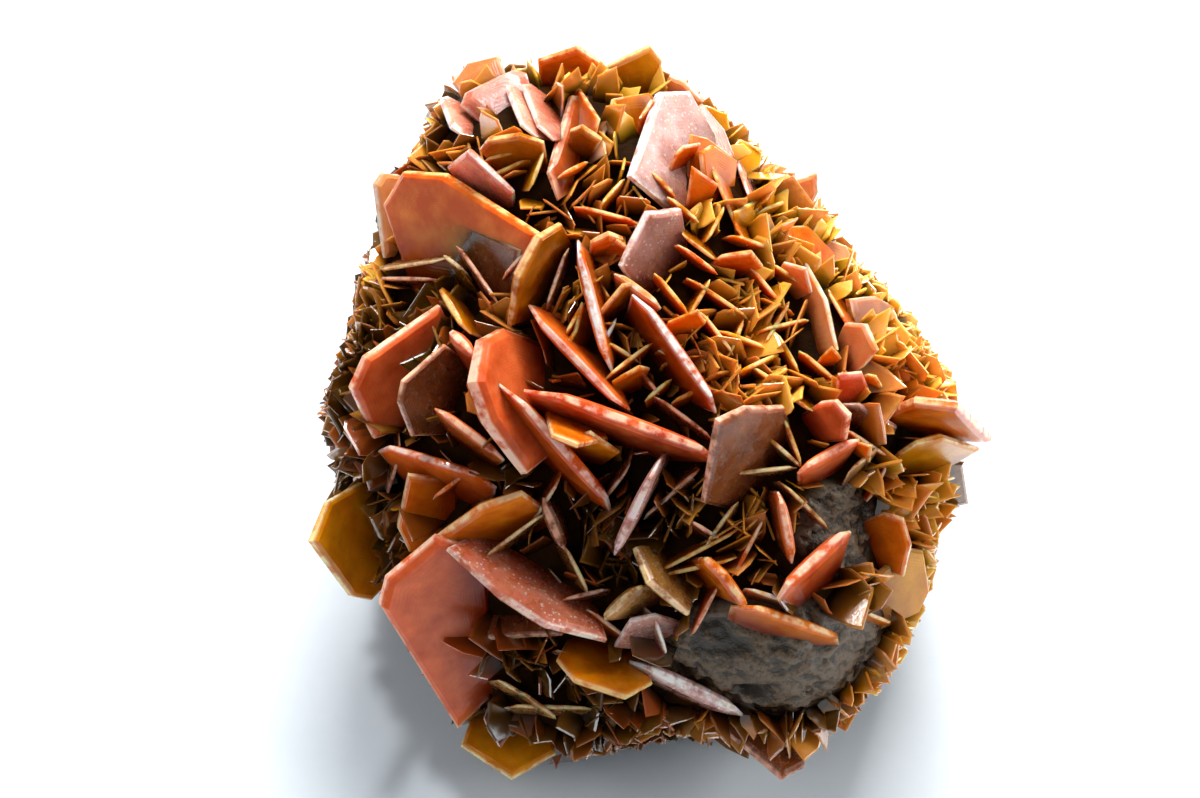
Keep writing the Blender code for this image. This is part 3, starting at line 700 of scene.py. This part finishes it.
set_crystals({
    "orange_plate_left": [
        (((439, 305), (364, 357), (350, 388), (373, 438)), (414, 384), (4.2, 3.4), 1.0, "salmon")],
    "salmon_blade_lower_right": [(((851, 525), (777, 593)), (826, 570), (3.6, 3.4), 1.1, "salmon")],
    "long_blade_left_of_centre": [(((526, 308), (628, 414)), (583, 352), (5.8, 3.4), 0.8, "ember")],
    "orange_plate_top": [(((538, 60), (578, 47), (604, 64)), (572, 80), (2.4, 2.0), 0.8, "orange")],
    "long_blade_centre": [(((638, 293), (722, 412)), (664, 362), (5.8, 3.8), 0.8, "painted_glint_rim")],
    "orange_roof_top_right": [(((700, 152), (711, 145), (736, 161)), (716, 180), (3.0, 2.6), 0.6, "orange")],
    "orange_plate_upper_right": [
        (((788, 227), (806, 226), (835, 256)), (806, 262), (2.4, 2.0), 0.8, "orange")],
    "amber_plate_top": [(((606, 100), (654, 92)), (634, 122), (3.2, 3.0), 0.6, "amber")],
    "amber_ledge_top_left": [
        (((480, 149), (488, 139), (520, 134), (544, 142)), (514, 166), (3.0, 3.0), 0.7, "amber")],
    "amber_block_right": [(((847, 299), (872, 296), (893, 308)), (858, 318), (1.8, 1.4), 1.0, "amber")],
    "gold_plate_top": [(((606, 66), (650, 45), (662, 60)), (636, 90), (2.2, 2.0), 0.8, "gold")],
    "gold_plate_far_left": [
        (((360, 482), (326, 502), (310, 541), (350, 596), (370, 600)), (384, 542), (1.8, 1.2), 0.9, "gold")],
    "gold_plate_bottom_left": [(((461, 746), (512, 779), (556, 754)), (504, 724), (1.2, 0.8), 0.9, "gold")],
    "peach_plate_far_left": [
        (((398, 174), (382, 173), (374, 184), (384, 258)), (404, 220), (0.8, 0.8), 0.9, "peach")],
    "peach_plate_top_left": [(((452, 84), (468, 64), (500, 56)), (494, 86), (0.6, 0.8), 0.7, "peach")],
    "peach_plate_top_right": [(((670, 75), (684, 81), (704, 101)), (678, 106), (1.8, 1.6), 0.7, "peach")],
    "peach_blade_middle": [(((615, 272), (662, 307)), (632, 299), (3.6, 3.0), 0.6, "peach")],
    "peach_plate_corner": [
        (((768, 180), (790, 181), (817, 173), (818, 192)), (794, 214), (1.2, 0.8), 0.7, "peach")],
    "pale_plate_right": [
        (((846, 322), (866, 324), (878, 350), (864, 366)), (846, 352), (2.2, 2.2), 0.6, "peach")],
    "pink_plate_far_left": [(((438, 94), (453, 133)), (459, 108), (2.4, 2.4), 0.8, "pink")],
    "rose_plate_upper_left": [(((448, 166), (468, 150), (514, 192)), (484, 190), (2.2, 1.6), 0.7, "pink")],
})

# The dull crystals: mauve, tan, rust and brown plates, whose faces are frosted with sugary grains
# or stained by the rock. They are the same tabular wulfenite, grown from the matrix like the rest.
set_crystals({
    "mauve_plate_top": [(((688, 92), (657, 93), (628, 176)), (676, 146), (2.8, 3.0), 1.0, "lilac")],
    "mauve_plate_middle": [(((680, 208), (647, 212), (619, 266)), (666, 262), (2.4, 3.2), 1.0, "mauve")],
    "mauve_plate_front": [(((614, 646), (630, 620), (656, 614)), (645, 646), (2.2, 2.0), 0.6, "mauve")],
    "tan_plate_front": [(((634, 548), (648, 582), (688, 615)), (672, 566), (3.4, 3.0), 0.8, "tan")],
    "tan_blade_front": [(((638, 586), (600, 620)), (632, 612), (3.4, 3.2), 1.0, "tan")],
    "upright_blade_right": [(((780, 494), (794, 566)), (779, 532), (4.0, 3.0), 0.8, "rust")],
    "brown_plate_right": [
        (((702, 502), (717, 420), (745, 407), (783, 406)), (764, 462), (2.8, 3.2), 0.9, "brown")],
    "brown_plate_far_right": [(((853, 400), (903, 430)), (871, 427), (3.0, 2.4), 0.6, "brown")],
    "brown_plate_lower_right": [(((722, 728), (782, 779), (804, 767)), (772, 736), (1.4, 0.8), 0.9, "brown")],
})

# The crystals that grew into one another, each group one piece: crossed blades and stepped shelves
# that share an edge or pass through each other.
set_crystals({
    "orange_shelf_upper_left": [
        (((385, 204), (405, 171), (446, 174), (540, 234)), (452, 256), (3.2, 3.2), 1.0, "shelf"),
        (((401, 243), (418, 212), (436, 209), (522, 250)), (462, 272), (2.4, 2.4), 0.6, "brown"),
        (((509, 326), (517, 276), (538, 236), (560, 223)), (542, 290), (3.4, 4.0), 0.8, "amber"),
        (((436, 284), (464, 330)), (460, 300), (4.0, 3.4), 0.5, "amber")],
    "pink_block_top_left": [
        (((456, 99), (522, 67)), (496, 100), (3.4, 3.2), 1.3, "pink"),
        (((503, 80), (524, 132)), (523, 100), (4.4, 2.4), 0.7, "pink"),
        (((519, 78), (541, 134)), (538, 100), (4.4, 2.4), 0.7, "pink"),
        (((574, 83), (544, 186)), (568, 146), (4.8, 3.0), 0.9, "rust"),
        (((577, 84), (603, 124)), (582, 118), (4.0, 3.2), 0.5, "orange"),
        (((570, 130), (582, 126), (602, 139)), (586, 152), (3.0, 3.0), 0.7, "amber")],
    "orange_plate_middle": [
        (((590, 242), (609, 233), (623, 238)), (603, 258), (3.2, 3.2), 0.7, "orange"),
        (((575, 240), (609, 372)), (601, 298), (5.4, 3.4), 0.8, "painted_glint_rim")],
    "long_pale_blade": [
        (((533, 386), (728, 458)), (624, 438), (6.2, 3.4), 1.0, "salmon"),
        (((608, 440), (578, 446), (552, 436), (545, 414)), (580, 422), (2.2, 2.2), 0.6, "orange"),
        (((500, 329), (479, 340), (471, 382), (486, 424), (524, 474)), (534, 404), (5.0, 4.0), 1.6, "salmon"),
        (((656, 466), (610, 562)), (640, 508), (5.0, 4.2), 0.8, "mauve"),
        (((508, 386), (622, 515)), (556, 462), (6.4, 4.0), 0.9, "ember")],
    "brown_plate_left": [
        (((444, 344), (402, 381), (398, 402), (411, 436)), (452, 402), (4.4, 3.8), 0.6, "brown"),
        (((448, 328), (470, 350)), (453, 346), (4.6, 4.4), 1.0, "salmon"),
        (((434, 406), (504, 458)), (464, 440), (5.2, 4.0), 0.7, "rust")],
    "salmon_blade_left": [
        (((374, 442), (493, 479)), (428, 476), (4.6, 3.0), 0.8, "ember"),
        (((408, 474), (397, 526), (409, 551)), (436, 508), (3.0, 3.2), 0.8, "orange")],
    "salmon_plate_front_left": [
        (((436, 535), (386, 577), (379, 604), (457, 727)), (478, 636), (5.0, 2.4), 1.2, "salmon"),
        (((424, 546), (480, 507), (522, 492)), (490, 542), (5.2, 4.2), 0.9, "orange"),
        (((447, 549), (500, 596), (546, 626), (606, 641)), (540, 578), (5.4, 3.4), 1.0, "frosted"),
        (((470, 640), (575, 634)), (514, 624), (3.0, 2.6), 0.7, "brown"),
        (((542, 500), (564, 552)), (560, 520), (2.8, 2.8), 0.9, "brown")],
    "amber_plate_bottom": [
        (((556, 660), (574, 681), (626, 698), (652, 684)), (612, 652), (2.8, 2.6), 0.7, "amber"),
        (((636, 662), (750, 716)), (692, 692), (2.4, 1.8), 1.1, "lilac")],
    "salmon_plate_right": [
        (((820, 402), (836, 400), (850, 415), (846, 440)), (822, 436), (2.8, 2.8), 0.8, "salmon"),
        (((799, 470), (861, 436)), (834, 464), (3.4, 3.2), 0.8, "salmon")],
    "orange_lip_right": [
        (((890, 410), (914, 400), (958, 405), (992, 438)), (930, 436), (1.8, 1.4), 1.1, "orange"),
        (((898, 454), (916, 442), (942, 436), (979, 448)), (934, 472), (1.6, 1.0), 0.7, "gold")],
    "glossy_blade_right": [
        (((706, 558), (724, 575), (746, 605)), (718, 590), (4.2, 3.6), 0.8, "orange"),
        (((742, 602), (851, 640)), (794, 630), (3.6, 2.4), 0.8, "orange")],
    "orange_plate_lower_right": [
        (((884, 512), (903, 518), (911, 545), (904, 576)), (878, 548), (2.2, 2.0), 0.7, "orange"),
        (((910, 548), (922, 550), (928, 590), (918, 612)), (886, 582), (2.0, 2.0), 0.6, "gold")],
})

# The medium blades: thin tablets that stand out of the druse and cross one another between the
# big crystals, each with a fine bright rim. Each is given by the pixels of its rim's two ends, how
# far its foot lies to the rim's side, how far it stands out, and its finish.
BLADE_THICK = 0.30
FOOT_SUNK = 1.0
MEDIUM_BLADES = {
    "blades_orange": (
        ((565, 335), (585, 300), 8, 2.6, "amber"),
        ((575, 205), (640, 222), 12, 2.4, "orange"), ((482, 160), (530, 147), 12, 2.6, "amber"),
        ((478, 182), (528, 158), 12, 2.2, "amber"), ((705, 152), (743, 243), -9, 2.2, "orange"),
        ((733, 150), (750, 200), -9, 2.0, "pink"), ((690, 103), (727, 116), 14, 1.4, "gold"),
        ((738, 138), (762, 152), 14, 1.4, "gold"), ((845, 428), (892, 459), 8, 2.4, "orange"),
        ((766, 515), (733, 578), 8, 2.6, "rust"), ((720, 583), (690, 640), 8, 2.4, "rust"),
        ((680, 245), (720, 275), 8, 3.0, "orange"), ((683, 236), (718, 262), -8, 2.6, "amber"),
        ((655, 272), (690, 315), 9, 3.0, "amber"), ((712, 278), (690, 315), 8, 3.0, "amber"),
        ((690, 278), (752, 320), 9, 3.0, "amber"), ((745, 318), (730, 355), 8, 2.6, "amber"),
        ((700, 310), (735, 355), 10, 2.8, "orange"), ((605, 378), (655, 340), 9, 2.8, "amber"),
        ((608, 342), (640, 362), 8, 2.6, "amber"), ((617, 318), (603, 345), 6, 2.8, "pink"),
        ((645, 400), (672, 378), 8, 2.6, "gold"), ((747, 588), (790, 602), 9, 2.6, "peach"),
        ((862, 610), (895, 624), 9, 1.8, "orange"), ((650, 170), (676, 196), 9, 2.2, "amber"),
        ((760, 210), (800, 196), 10, 1.8, "gold"), ((770, 262), (812, 290), 9, 2.2, "amber"),
        ((826, 288), (850, 330), -10, 1.8, "orange"), ((735, 235), (775, 250), 9, 2.4, "gold"),
        ((760, 330), (812, 318), 9, 2.4, "amber"), ((800, 350), (838, 382), 9, 2.4, "amber"),
        ((752, 366), (790, 392), 9, 2.4, "amber"), ((600, 205), (626, 176), 8, 2.4, "gold"),
        ((668, 196), (700, 222), 9, 2.4, "gold"), ((726, 205), (708, 240), 8, 2.2, "amber"),
        ((775, 330), (800, 372), 9, 2.4, "gold"), ((792, 300), (764, 345), 9, 2.4, "amber"),
        ((720, 330), (768, 348), 9, 2.6, "gold"), ((738, 372), (782, 352), 8, 2.6, "gold"),
        ((812, 412), (778, 388), 9, 2.2, "amber"), ((660, 350), (700, 372), 9, 2.8, "orange"),
        ((752, 268), (780, 302), 9, 2.4, "orange"), ((672, 402), (704, 386), 8, 2.6, "orange"),
        ((545, 150), (530, 190), 9, 2.4, "gold"), ((560, 175), (590, 160), 9, 2.6, "orange")),
    "blades_olive": (
        ((400, 455), (386, 500), 10, 2.2, "brown"),
        ((503, 705), (598, 708), 9, 1.8, "tan"), ((500, 680), (530, 698), 8, 1.8, "tan"),
        ((545, 310), (568, 245), 9, 2.8, "brown"), ((888, 465), (868, 502), 8, 2.0, "rust"),
        ((783, 483), (832, 531), 7, 2.4, "tan"), ((768, 437), (803, 468), 7, 2.4, "tan"),
        ((783, 415), (803, 468), 7, 2.6, "amber"), ((728, 474), (800, 466), 7, 2.6, "tan"),
        ((743, 528), (655, 574), 8, 2.8, "amber"), ((735, 560), (655, 577), 8, 2.4, "amber"),
        ((655, 617), (668, 658), 10, 2.2, "mauve"), ((366, 278), (440, 279), 7, 2.6, "brown"),
        ((368, 272), (445, 260), -7, 2.4, "tan"), ((455, 241), (500, 305), 9, 3.0, "brown"),
        ((441, 253), (466, 272), 7, 2.8, "tan"), ((500, 280), (540, 235), 8, 2.8, "brown"),
        ((642, 372), (660, 395), 8, 2.8, "brown"), ((655, 395), (715, 440), 10, 2.8, "brown"),
        ((480, 560), (545, 512), 9, 3.2, "tan"), ((565, 545), (590, 595), 9, 2.6, "tan"),
        ((850, 470), (880, 446), 8, 2.2, "tan"), ((690, 520), (722, 540), 9, 2.4, "brown"),
        ((700, 470), (672, 492), 9, 2.6, "brown"), ((590, 610), (630, 640), 10, 2.2, "rust"),
        ((560, 600), (610, 588), 9, 2.0, "brown"),
        ((370, 400), (352, 440), -8, 1.8, "amber"),
        ((640, 520), (690, 478), 8, 2.4, "brown"), ((628, 470), (600, 505), 8, 2.6, "brown"),
        ((560, 480), (528, 530), 8, 2.4, "rust"), ((705, 545), (738, 500), 8, 2.4, "tan"),
        ((430, 500), (470, 470), 8, 2.6, "rust"), ((520, 690), (560, 720), 9, 1.8, "tan"),
        ((560, 650), (600, 668), 9, 2.0, "brown"), ((400, 330), (440, 300), 8, 2.2, "tan")),
}


def medium_blade(start, end, side, stand, finish):
    """A straight rim between two pixels, and a foot beside its middle, square to it."""
    run = np.array(end) - np.array(start)
    foot = (np.array(start) + np.array(end)) / 2 + side * np.array([-run[1], run[0]]) / np.hypot(*run)
    return (start, end), tuple(foot), (stand, stand * 0.85), BLADE_THICK, finish


def set_among(pieces, around, rings):
    """Makes each of these pieces, with its feet sunk into the rock and no node to replace."""
    for name, members in pieces.items():
        made = crystal_object(name, members, around, rings, FOOT_SUNK)
        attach(made, "root")


set_among({name: [medium_blade(*blade) for blade in blades] for name, blades in MEDIUM_BLADES.items()},
          around=26, rings=8)

# The small plates: thin square tablets of wulfenite, mostly at the top and the right, whose broad
# faces show between the big crystals. Each grew from the matrix, with one edge rooted in it. Each
# is given by its rim's pixels, its foot's pixel, how far the rim's ends stand out, its thickness
# and its finish.
SMALL_PLATES = {
    "plates_gold": (
        (((704, 104), (727, 114), (730, 128)), (706, 132), (1.4, 1.2), 0.35, "gold"),
        (((738, 140), (762, 150), (760, 166)), (740, 172), (1.4, 1.2), 0.35, "gold"),
        (((733, 212), (770, 193), (780, 197)), (760, 218), (2.2, 2.0), 0.4, "gold"),
        (((562, 352), (575, 330), (582, 302)), (590, 345), (2.6, 2.8), 0.35, "amber"),
        (((596, 318), (624, 284), (634, 282)), (622, 312), (2.8, 3.0), 0.4, "amber"),
        (((668, 322), (698, 310), (706, 322)), (690, 344), (2.8, 2.8), 0.35, "amber"),
        (((612, 382), (640, 366), (650, 368)), (636, 392), (2.6, 2.6), 0.35, "amber"),
        (((868, 374), (876, 376), (884, 390)), (868, 392), (1.6, 1.4), 0.35, "gold"),
        (((820, 358), (832, 346), (842, 358)), (830, 368), (1.4, 1.4), 0.3, "gold")),
    "plates_orange": (
        (((690, 134), (706, 138), (729, 155)), (708, 178), (2.8, 2.4), 0.4, "orange"),
        (((676, 154), (684, 146), (700, 143)), (690, 164), (2.8, 2.8), 0.35, "orange"),
        (((688, 194), (692, 166), (718, 184)), (706, 206), (1.4, 1.4), 0.4, "orange"),
        (((720, 256), (752, 252), (763, 266)), (738, 278), (2.6, 2.4), 0.5, "orange"),
        (((836, 394), (838, 374), (862, 372), (870, 392)), (852, 408), (1.2, 1.2), 0.5, "salmon"),
        (((870, 330), (896, 328), (901, 344)), (884, 350), (1.4, 1.2), 0.5, "orange"),
        (((858, 442), (872, 446), (870, 462)), (856, 460), (2.0, 1.8), 0.35, "orange"),
        (((566, 438), (590, 432), (620, 452)), (590, 462), (2.4, 2.2), 0.5, "orange"),
        (((600, 246), (618, 240), (634, 252)), (616, 268), (2.2, 2.4), 0.4, "orange"),
        (((640, 118), (652, 100), (664, 104)), (650, 128), (2.2, 2.4), 0.35, "orange")),
    "plates_peach": (
        (((776, 202), (800, 198), (821, 224)), (796, 232), (1.8, 1.6), 0.5, "peach"),
        (((806, 262), (826, 298), (838, 350)), (806, 318), (2.2, 2.2), 0.4, "peach"),
        (((826, 240), (846, 246), (856, 270)), (832, 268), (1.6, 1.2), 0.45, "peach"),
        (((784, 262), (806, 268), (812, 292)), (784, 292), (2.2, 2.2), 0.4, "peach"),
        (((606, 154), (604, 130), (616, 104)), (596, 130), (2.2, 2.6), 0.3, "peach"),
        (((702, 104), (724, 130), (736, 160)), (704, 146), (1.8, 1.8), 0.4, "rust")),
}
set_among(SMALL_PLATES, around=40, rings=10)

# The druse: more than two thousand thin wulfenite blades, one to three millimetres long, that
# stand on edge all over the matrix and cross one another like boxwork. Their colour is painted
# light and shade: olive and brown in painted shade to the lower left, and amber to gold in
# painted light at the top and the right.
# The specimen's outline against the table, as pixels
SILHOUETTE = np.array([
    (575, 46), (600, 64), (650, 44), (680, 72), (703, 97), (727, 115), (760, 150), (790, 180),
    (815, 173), (845, 238), (865, 290), (893, 305), (925, 345), (945, 372), (960, 395), (994, 440),
    (965, 478), (963, 507), (935, 525), (928, 590), (905, 645), (885, 680), (850, 715), (830, 745),
    (804, 768), (785, 778), (720, 748), (660, 720), (620, 742), (580, 756), (513, 778), (460, 750),
    (455, 725), (420, 676), (398, 640), (380, 605), (350, 597), (310, 540), (340, 490), (322, 415),
    (345, 350), (357, 310), (362, 270), (378, 240), (375, 185), (400, 170), (420, 150), (437, 100),
    (455, 70), (500, 55),
], float)
SILHOUETTE_SLACK = 7.0
# A blade that reaches past it keeps these shares of its stand and its width, up to three times
WIDE_SHARES = (0.68, 0.82)
# What blades keep clear of: the specimen's box, the table, and a crystal's face as far down as this
# share of its depth
BOX_MARGIN = 0.05 * MM
TABLE_MARGIN = 0.3 * MM
CRYSTAL_MARGIN = 0.10 * MM
CLEAR_DEPTH = 0.7
# The hollow middle of the face, where the druse is painted in shade and thinned: its middle pixel and its
# reach in pixels
DARK_MIDDLE = np.array([545.0, 480.0])
DARK_REACH = np.array([170.0, 190.0])
# How many of the blades are long, and the ranges in mm that each kind's sizes are drawn from
LONG_SHARE = 0.35
LONG_WIDTH = (2.2, 3.7)
SHORT_WIDTH = (1.2, 2.3)
LONG_STAND = (1.7, 2.9)
SHORT_STAND = (0.8, 2.1)
THICKNESS = (0.10, 0.22)
LEAN = 0.35
BLADE_ROOT = 0.9 * MM
BLADE_SIDES = 8
# Each ring's place across the thickness, in halves of it, and how much it is shrunk
BLADE_RINGS = ((-1.0, 0.10), (-0.35, 0.0), (0.35, 0.0), (1.0, 0.10))
# How near the tip each corner of a blade is: 0 at the root's two corners, 1 at the top's two
CORNER_TIPS = (0, 0, 0.4, 0.9, 1, 1, 0.9, 0.4)


def spread_directions(count, side, seed):
    """A spiral of equal-area steps over the front (1) or back (-1) half of a sphere, shaken a
    little by seeded noise."""
    rng = np.random.default_rng(seed)
    place = np.arange(count) + 0.5
    out = 1 - place / count
    turn = place * math.pi * (3 - math.sqrt(5))
    level = np.sqrt(1 - out**2)
    directions = np.stack([level * np.cos(turn), level * np.sin(turn), side * out], axis=1)
    return unit(directions + rng.normal(size=(count, 3)) * 0.35 / math.sqrt(count))


def lump_normals(directions):
    """The surface's normal at each direction: how the height over the lump grows along each axis."""
    feet = directions * matrix_radius(directions)[:, None]
    step = 0.15 * MM
    slopes = [height_over(feet + step * axis, matrix_radius) - height_over(feet - step * axis, matrix_radius)
              for axis in np.eye(3)]
    return feet, unit(np.stack(slopes, axis=1))


def blade_field(feet, normals, width, stand, thick, seed):
    """Many blades at once. Each is a closed plate on edge: an eight-sided outline, higher than its
    foot by its stand and rooted below it, on four rings across its thickness, the outer two a
    little smaller. Its plane is turned at random round the normal and leans by a random angle."""
    rng = np.random.default_rng(seed)
    count = len(feet)
    along = unit(np.cross(normals, rng.normal(size=(count, 3))))
    across = np.cross(along, normals)
    tip = rng.normal(size=count) * LEAN
    up = unit(normals * np.cos(tip)[:, None] + across * np.sin(tip)[:, None])
    across = np.cross(along, up)
    cut_one, cut_two = rng.uniform(0.10, 0.75, (count, 2)).T
    skew = rng.uniform(-0.38, 0.38, count)
    side, root, foot = width / 2, np.full(count, -BLADE_ROOT), 0.2 * stand
    corners = np.array([
        (-side, root), (side, root), (side, foot), (side, stand * (1 - cut_one)),
        (side * (1 - cut_one), stand * (1 + skew)), (-side * (1 - cut_two), stand * (1 - skew)),
        (-side, stand * (1 - cut_two)), (-side, foot),
    ]).transpose(2, 0, 1)
    middle = corners.mean(axis=1, keepdims=True)
    rings = []
    for level, shrink in BLADE_RINGS:
        flat = middle + (corners - middle) * (1 - shrink)
        rings.append(feet[:, None] + flat[..., :1] * along[:, None] + flat[..., 1:] * up[:, None]
                     + (level * thick / 2)[:, None, None] * across[:, None])
    return np.concatenate(rings, axis=1)


def blade_faces(count):
    """The faces of that many blades: quads from ring to ring, and one flat cap on each face."""
    quads = closed_faces(len(BLADE_RINGS), BLADE_SIDES)[0]
    around = np.arange(BLADE_SIDES)
    caps = np.stack([around, around[::-1] + BLADE_SIDES * (len(BLADE_RINGS) - 1)])
    base = np.arange(count)[:, None, None] * BLADE_SIDES * len(BLADE_RINGS)
    return (base + quads).reshape(-1, 4), (base + caps).reshape(-1, BLADE_SIDES)


def clear_of_crystals(points, margin):
    """True for the blades none of whose points is inside a crystal, its lower part left out."""
    clear = np.ones(len(points), bool)
    flat_points = points.reshape(-1, 3)
    for first, along, dip, outline, half in PLATES:
        off = flat_points - first
        inside = np.abs(off @ np.cross(along, dip)) < half + margin
        flat = np.stack([off @ along, off @ dip], axis=1)
        sides = np.roll(outline, -1, axis=0) - outline
        inside &= flat[:, 1] < CLEAR_DEPTH * outline[-1, 1]
        for corner, side in zip(outline, sides):
            cross = side[0] * (flat[:, 1] - corner[1]) - side[1] * (flat[:, 0] - corner[0])
            inside &= cross > -margin * np.linalg.norm(side)
        clear &= ~inside.reshape(points.shape[:2]).any(axis=1)
    return clear


def centre_share(points):
    """1 in the dark hollow part of the face between the big crystals, falling to 0 outside it."""
    offset = (pixels_of(points) - DARK_MIDDLE) / DARK_REACH
    return np.where(points[:, 2] > 0, np.clip(1.6 - np.linalg.norm(offset, axis=1) * 1.6, 0, 1), 0)


def druse_tone_and_painted_light(points):
    """How far a blade is painted from dark shade towards gold light, 0 to 1: painted light more to
    the right and the top, a painted glow at the edge of the view, and painted shade in the hollow
    middle and on the back. Noise makes it patchy."""
    pixels = pixels_of(points)
    # Painted light: gold towards the right and the top, 0.6 of it on the back, a painted glow near the
    # outline, and painted shade in the hollow middle
    painted_light = 0.46 + (pixels[:, 0] - 620) / 560 - (pixels[:, 1] - 330) / 620
    painted_light = np.where(points[:, 2] > 0, painted_light, 0.6 * painted_light)
    painted_light = painted_light + 0.55 * np.clip(1 - points[:, 2] / (4.5 * MM), 0, 1) * (points[:, 2] > 0)
    return np.clip(painted_light - 0.42 * centre_share(points) + 0.22 * lumps(points, 3.0 * MM, 31), 0, 1)


def outside_silhouette(points):
    """True where a point's pixel is outside the outline by more than the slack: a line from it
    crosses the outline an even number of times, and no side of the outline is near."""
    pixels = pixels_of(points)
    odd = np.zeros(len(pixels), bool)
    near = np.full(len(pixels), np.inf)
    for start, end in zip(SILHOUETTE, np.roll(SILHOUETTE, -1, axis=0)):
        run = end - start
        between = (start[1] > pixels[:, 1]) != (end[1] > pixels[:, 1])
        cross = start[0] + (pixels[:, 1] - start[1]) * run[0] / (run[1] + 1e-9)
        odd ^= between & (pixels[:, 0] < cross)
        along = np.clip((pixels - start) @ run / (run @ run), 0, 1)
        near = np.minimum(near, np.linalg.norm(pixels - start - along[:, None] * run, axis=1))
    return ~odd & (near > SILHOUETTE_SLACK)


def druse_crystal():
    """Crystal coloured by the painted light and shade of its blade, from dark brown to gold, and rusty
    on some of the blades. It is darker towards a blade's root, painted shade with some stain, and
    has a painted highlight at the tips of the blades painted gold."""
    material, tree, shader = new_material("druse_crystal")
    tone_and_painted_light, tone, tip = (stored(tree, name) for name in ("tone_and_painted_light", "tone", "tip"))
    speck = noise(tree, 3200.0, 3.0, 0.6)
    # The blade's colour runs from painted shade, dark brown, to painted light, gold
    colour = ramp(tree, tone_and_painted_light, (0.0, (0.085, 0.034, 0.002)), (0.35, (0.32, 0.108, 0.002)),
                  (0.68, (0.88, 0.32, 0.003)), (1.0, (0.98, 0.52, 0.015)))
    colour = mixed(tree, spread(tree, tone, 0.62, 1.0, 0.0, 0.8), colour, (0.46, 0.085, 0.008, 1))
    # Painted highlight: pale orange at the tips of the blades that are painted in light
    pale = math_node(tree, "MULTIPLY", math_node(tree, "POWER", tip, 5.0), speck)
    pale = add_node(tree, "Math", pale, tone_and_painted_light, operation="MULTIPLY", use_clamp=True).outputs["Value"]
    colour = mixed(tree, pale, colour, (1.0, 0.64, 0.22, 1))
    # Painted shade with some stain: each blade darker towards its root
    colour = mixed(tree, 1.0, colour, spread(tree, tip, 0.22, 1.0, 0.03, 1.0), "MULTIPLY")
    relief = add_node(tree, "Bump", Strength=0.12, Distance=0.00005, Height=speck)
    feed(tree, shader.inputs["Base Color"], colour)
    feed(tree, shader.inputs["Roughness"], spread(tree, tone, 0.0, 1.0, 0.05, 0.20))
    feed(tree, shader.inputs["Normal"], relief.outputs["Normal"])
    shader.inputs["IOR"].default_value = 1.5
    shader.inputs["Subsurface Weight"].default_value = 0.8
    shader.inputs["Subsurface Radius"].default_value = (1.0, 0.42, 0.05)
    shader.inputs["Subsurface Scale"].default_value = 0.25 * MM
    shader.inputs["Transmission Weight"].default_value = 0.2
    return material


def kept_blades(rng, feet, points, world):
    """True for the blades that stay: in the specimen's box and above the table, off the bare rock,
    clear of the crystals, and not dropped at random, which happens more often in the dark middle,
    in small pockets of the front and in wide patches of the back."""
    low, high = np.array(cad_box[0]) + BOX_MARGIN, np.array(cad_box[1]) - BOX_MARGIN
    keep = ((world > low) & (world < high)).all(axis=(1, 2)) & (world[..., 2].min(axis=1) > TABLE_MARGIN)
    keep &= bare_share(feet) < 0.5
    keep &= rng.random(len(feet)) > 0.5 * centre_share(feet)
    pocket = np.clip(0.12 + 1.1 * lumps(feet, 1.7 * MM, 34), 0, 0.85)
    keep &= rng.random(len(feet)) > pocket * np.clip(feet[:, 2] / (2 * MM), 0, 1)
    patch = np.clip(0.45 + 2.2 * lumps(feet, 5.0 * MM, 33), 0, 0.97)
    keep &= rng.random(len(feet)) > patch * np.clip(-feet[:, 2] / (3 * MM), 0, 1)
    return keep & clear_of_crystals(points[:, BLADE_SIDES:BLADE_SIDES * 2], CRYSTAL_MARGIN)


def druse_piece(name, feet, normals, size, seed):
    """One object of all the blades of a part of the druse. size scales them all, and blades that
    reach past the outline are made smaller, up to three times."""
    rng = np.random.default_rng(seed)
    count = len(feet)
    long = rng.random(count) < LONG_SHARE
    width = np.where(long, rng.uniform(*LONG_WIDTH, count), rng.uniform(*SHORT_WIDTH, count)) * MM * size
    stand = np.where(long, rng.uniform(*LONG_STAND, count), rng.uniform(*SHORT_STAND, count)) * MM * size
    thick = rng.uniform(*THICKNESS, count) * MM * size
    points = blade_field(feet, normals, width, stand, thick, seed + 1)
    for _ in range(3):
        wide = outside_silhouette(points.reshape(-1, 3)).reshape(count, -1).any(axis=1)
        stand = np.where(wide, WIDE_SHARES[0] * stand, stand)
        width = np.where(wide, WIDE_SHARES[1] * width, width)
        points = blade_field(feet, normals, width, stand, thick, seed + 1)
    world = world_from_face(points.reshape(-1, 3)).reshape(points.shape)
    keep = kept_blades(rng, feet, points, world)
    world, feet = world[keep], feet[keep]
    made = mesh_object(name, world.reshape(-1, 3), *blade_faces(len(world)))
    per_blade = BLADE_SIDES * len(BLADE_RINGS)
    tone_and_painted_light = druse_tone_and_painted_light(feet) + rng.uniform(-0.22, 0.22, len(feet))
    store(made.data, "tone_and_painted_light", np.repeat(tone_and_painted_light, per_blade))
    store(made.data, "tone", np.repeat(rng.uniform(0, 1, len(feet)), per_blade))
    store(made.data, "tip", np.tile(CORNER_TIPS, len(BLADE_RINGS) * len(feet)))
    made.data.materials.append(DRUSE_FINISH)
    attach(made, "root")


DRUSE_FINISH = druse_crystal()
front_feet, front_normals = lump_normals(spread_directions(5000, 1, 41))
back_feet, back_normals = lump_normals(spread_directions(2800, -1, 42))
quarter = np.floor(np.mod(np.arctan2(front_feet[:, 1], front_feet[:, 0]) + math.pi / 4, 2 * math.pi)
                   / (math.pi / 2)).astype(int)
for number, name in enumerate(("druse_right", "druse_top", "druse_left", "druse_bottom")):
    mine = quarter == number
    druse_piece(name, front_feet[mine], front_normals[mine], 1.0, 50 + number * 5)
druse_piece("druse_back", back_feet, back_normals, 1.1, 80)
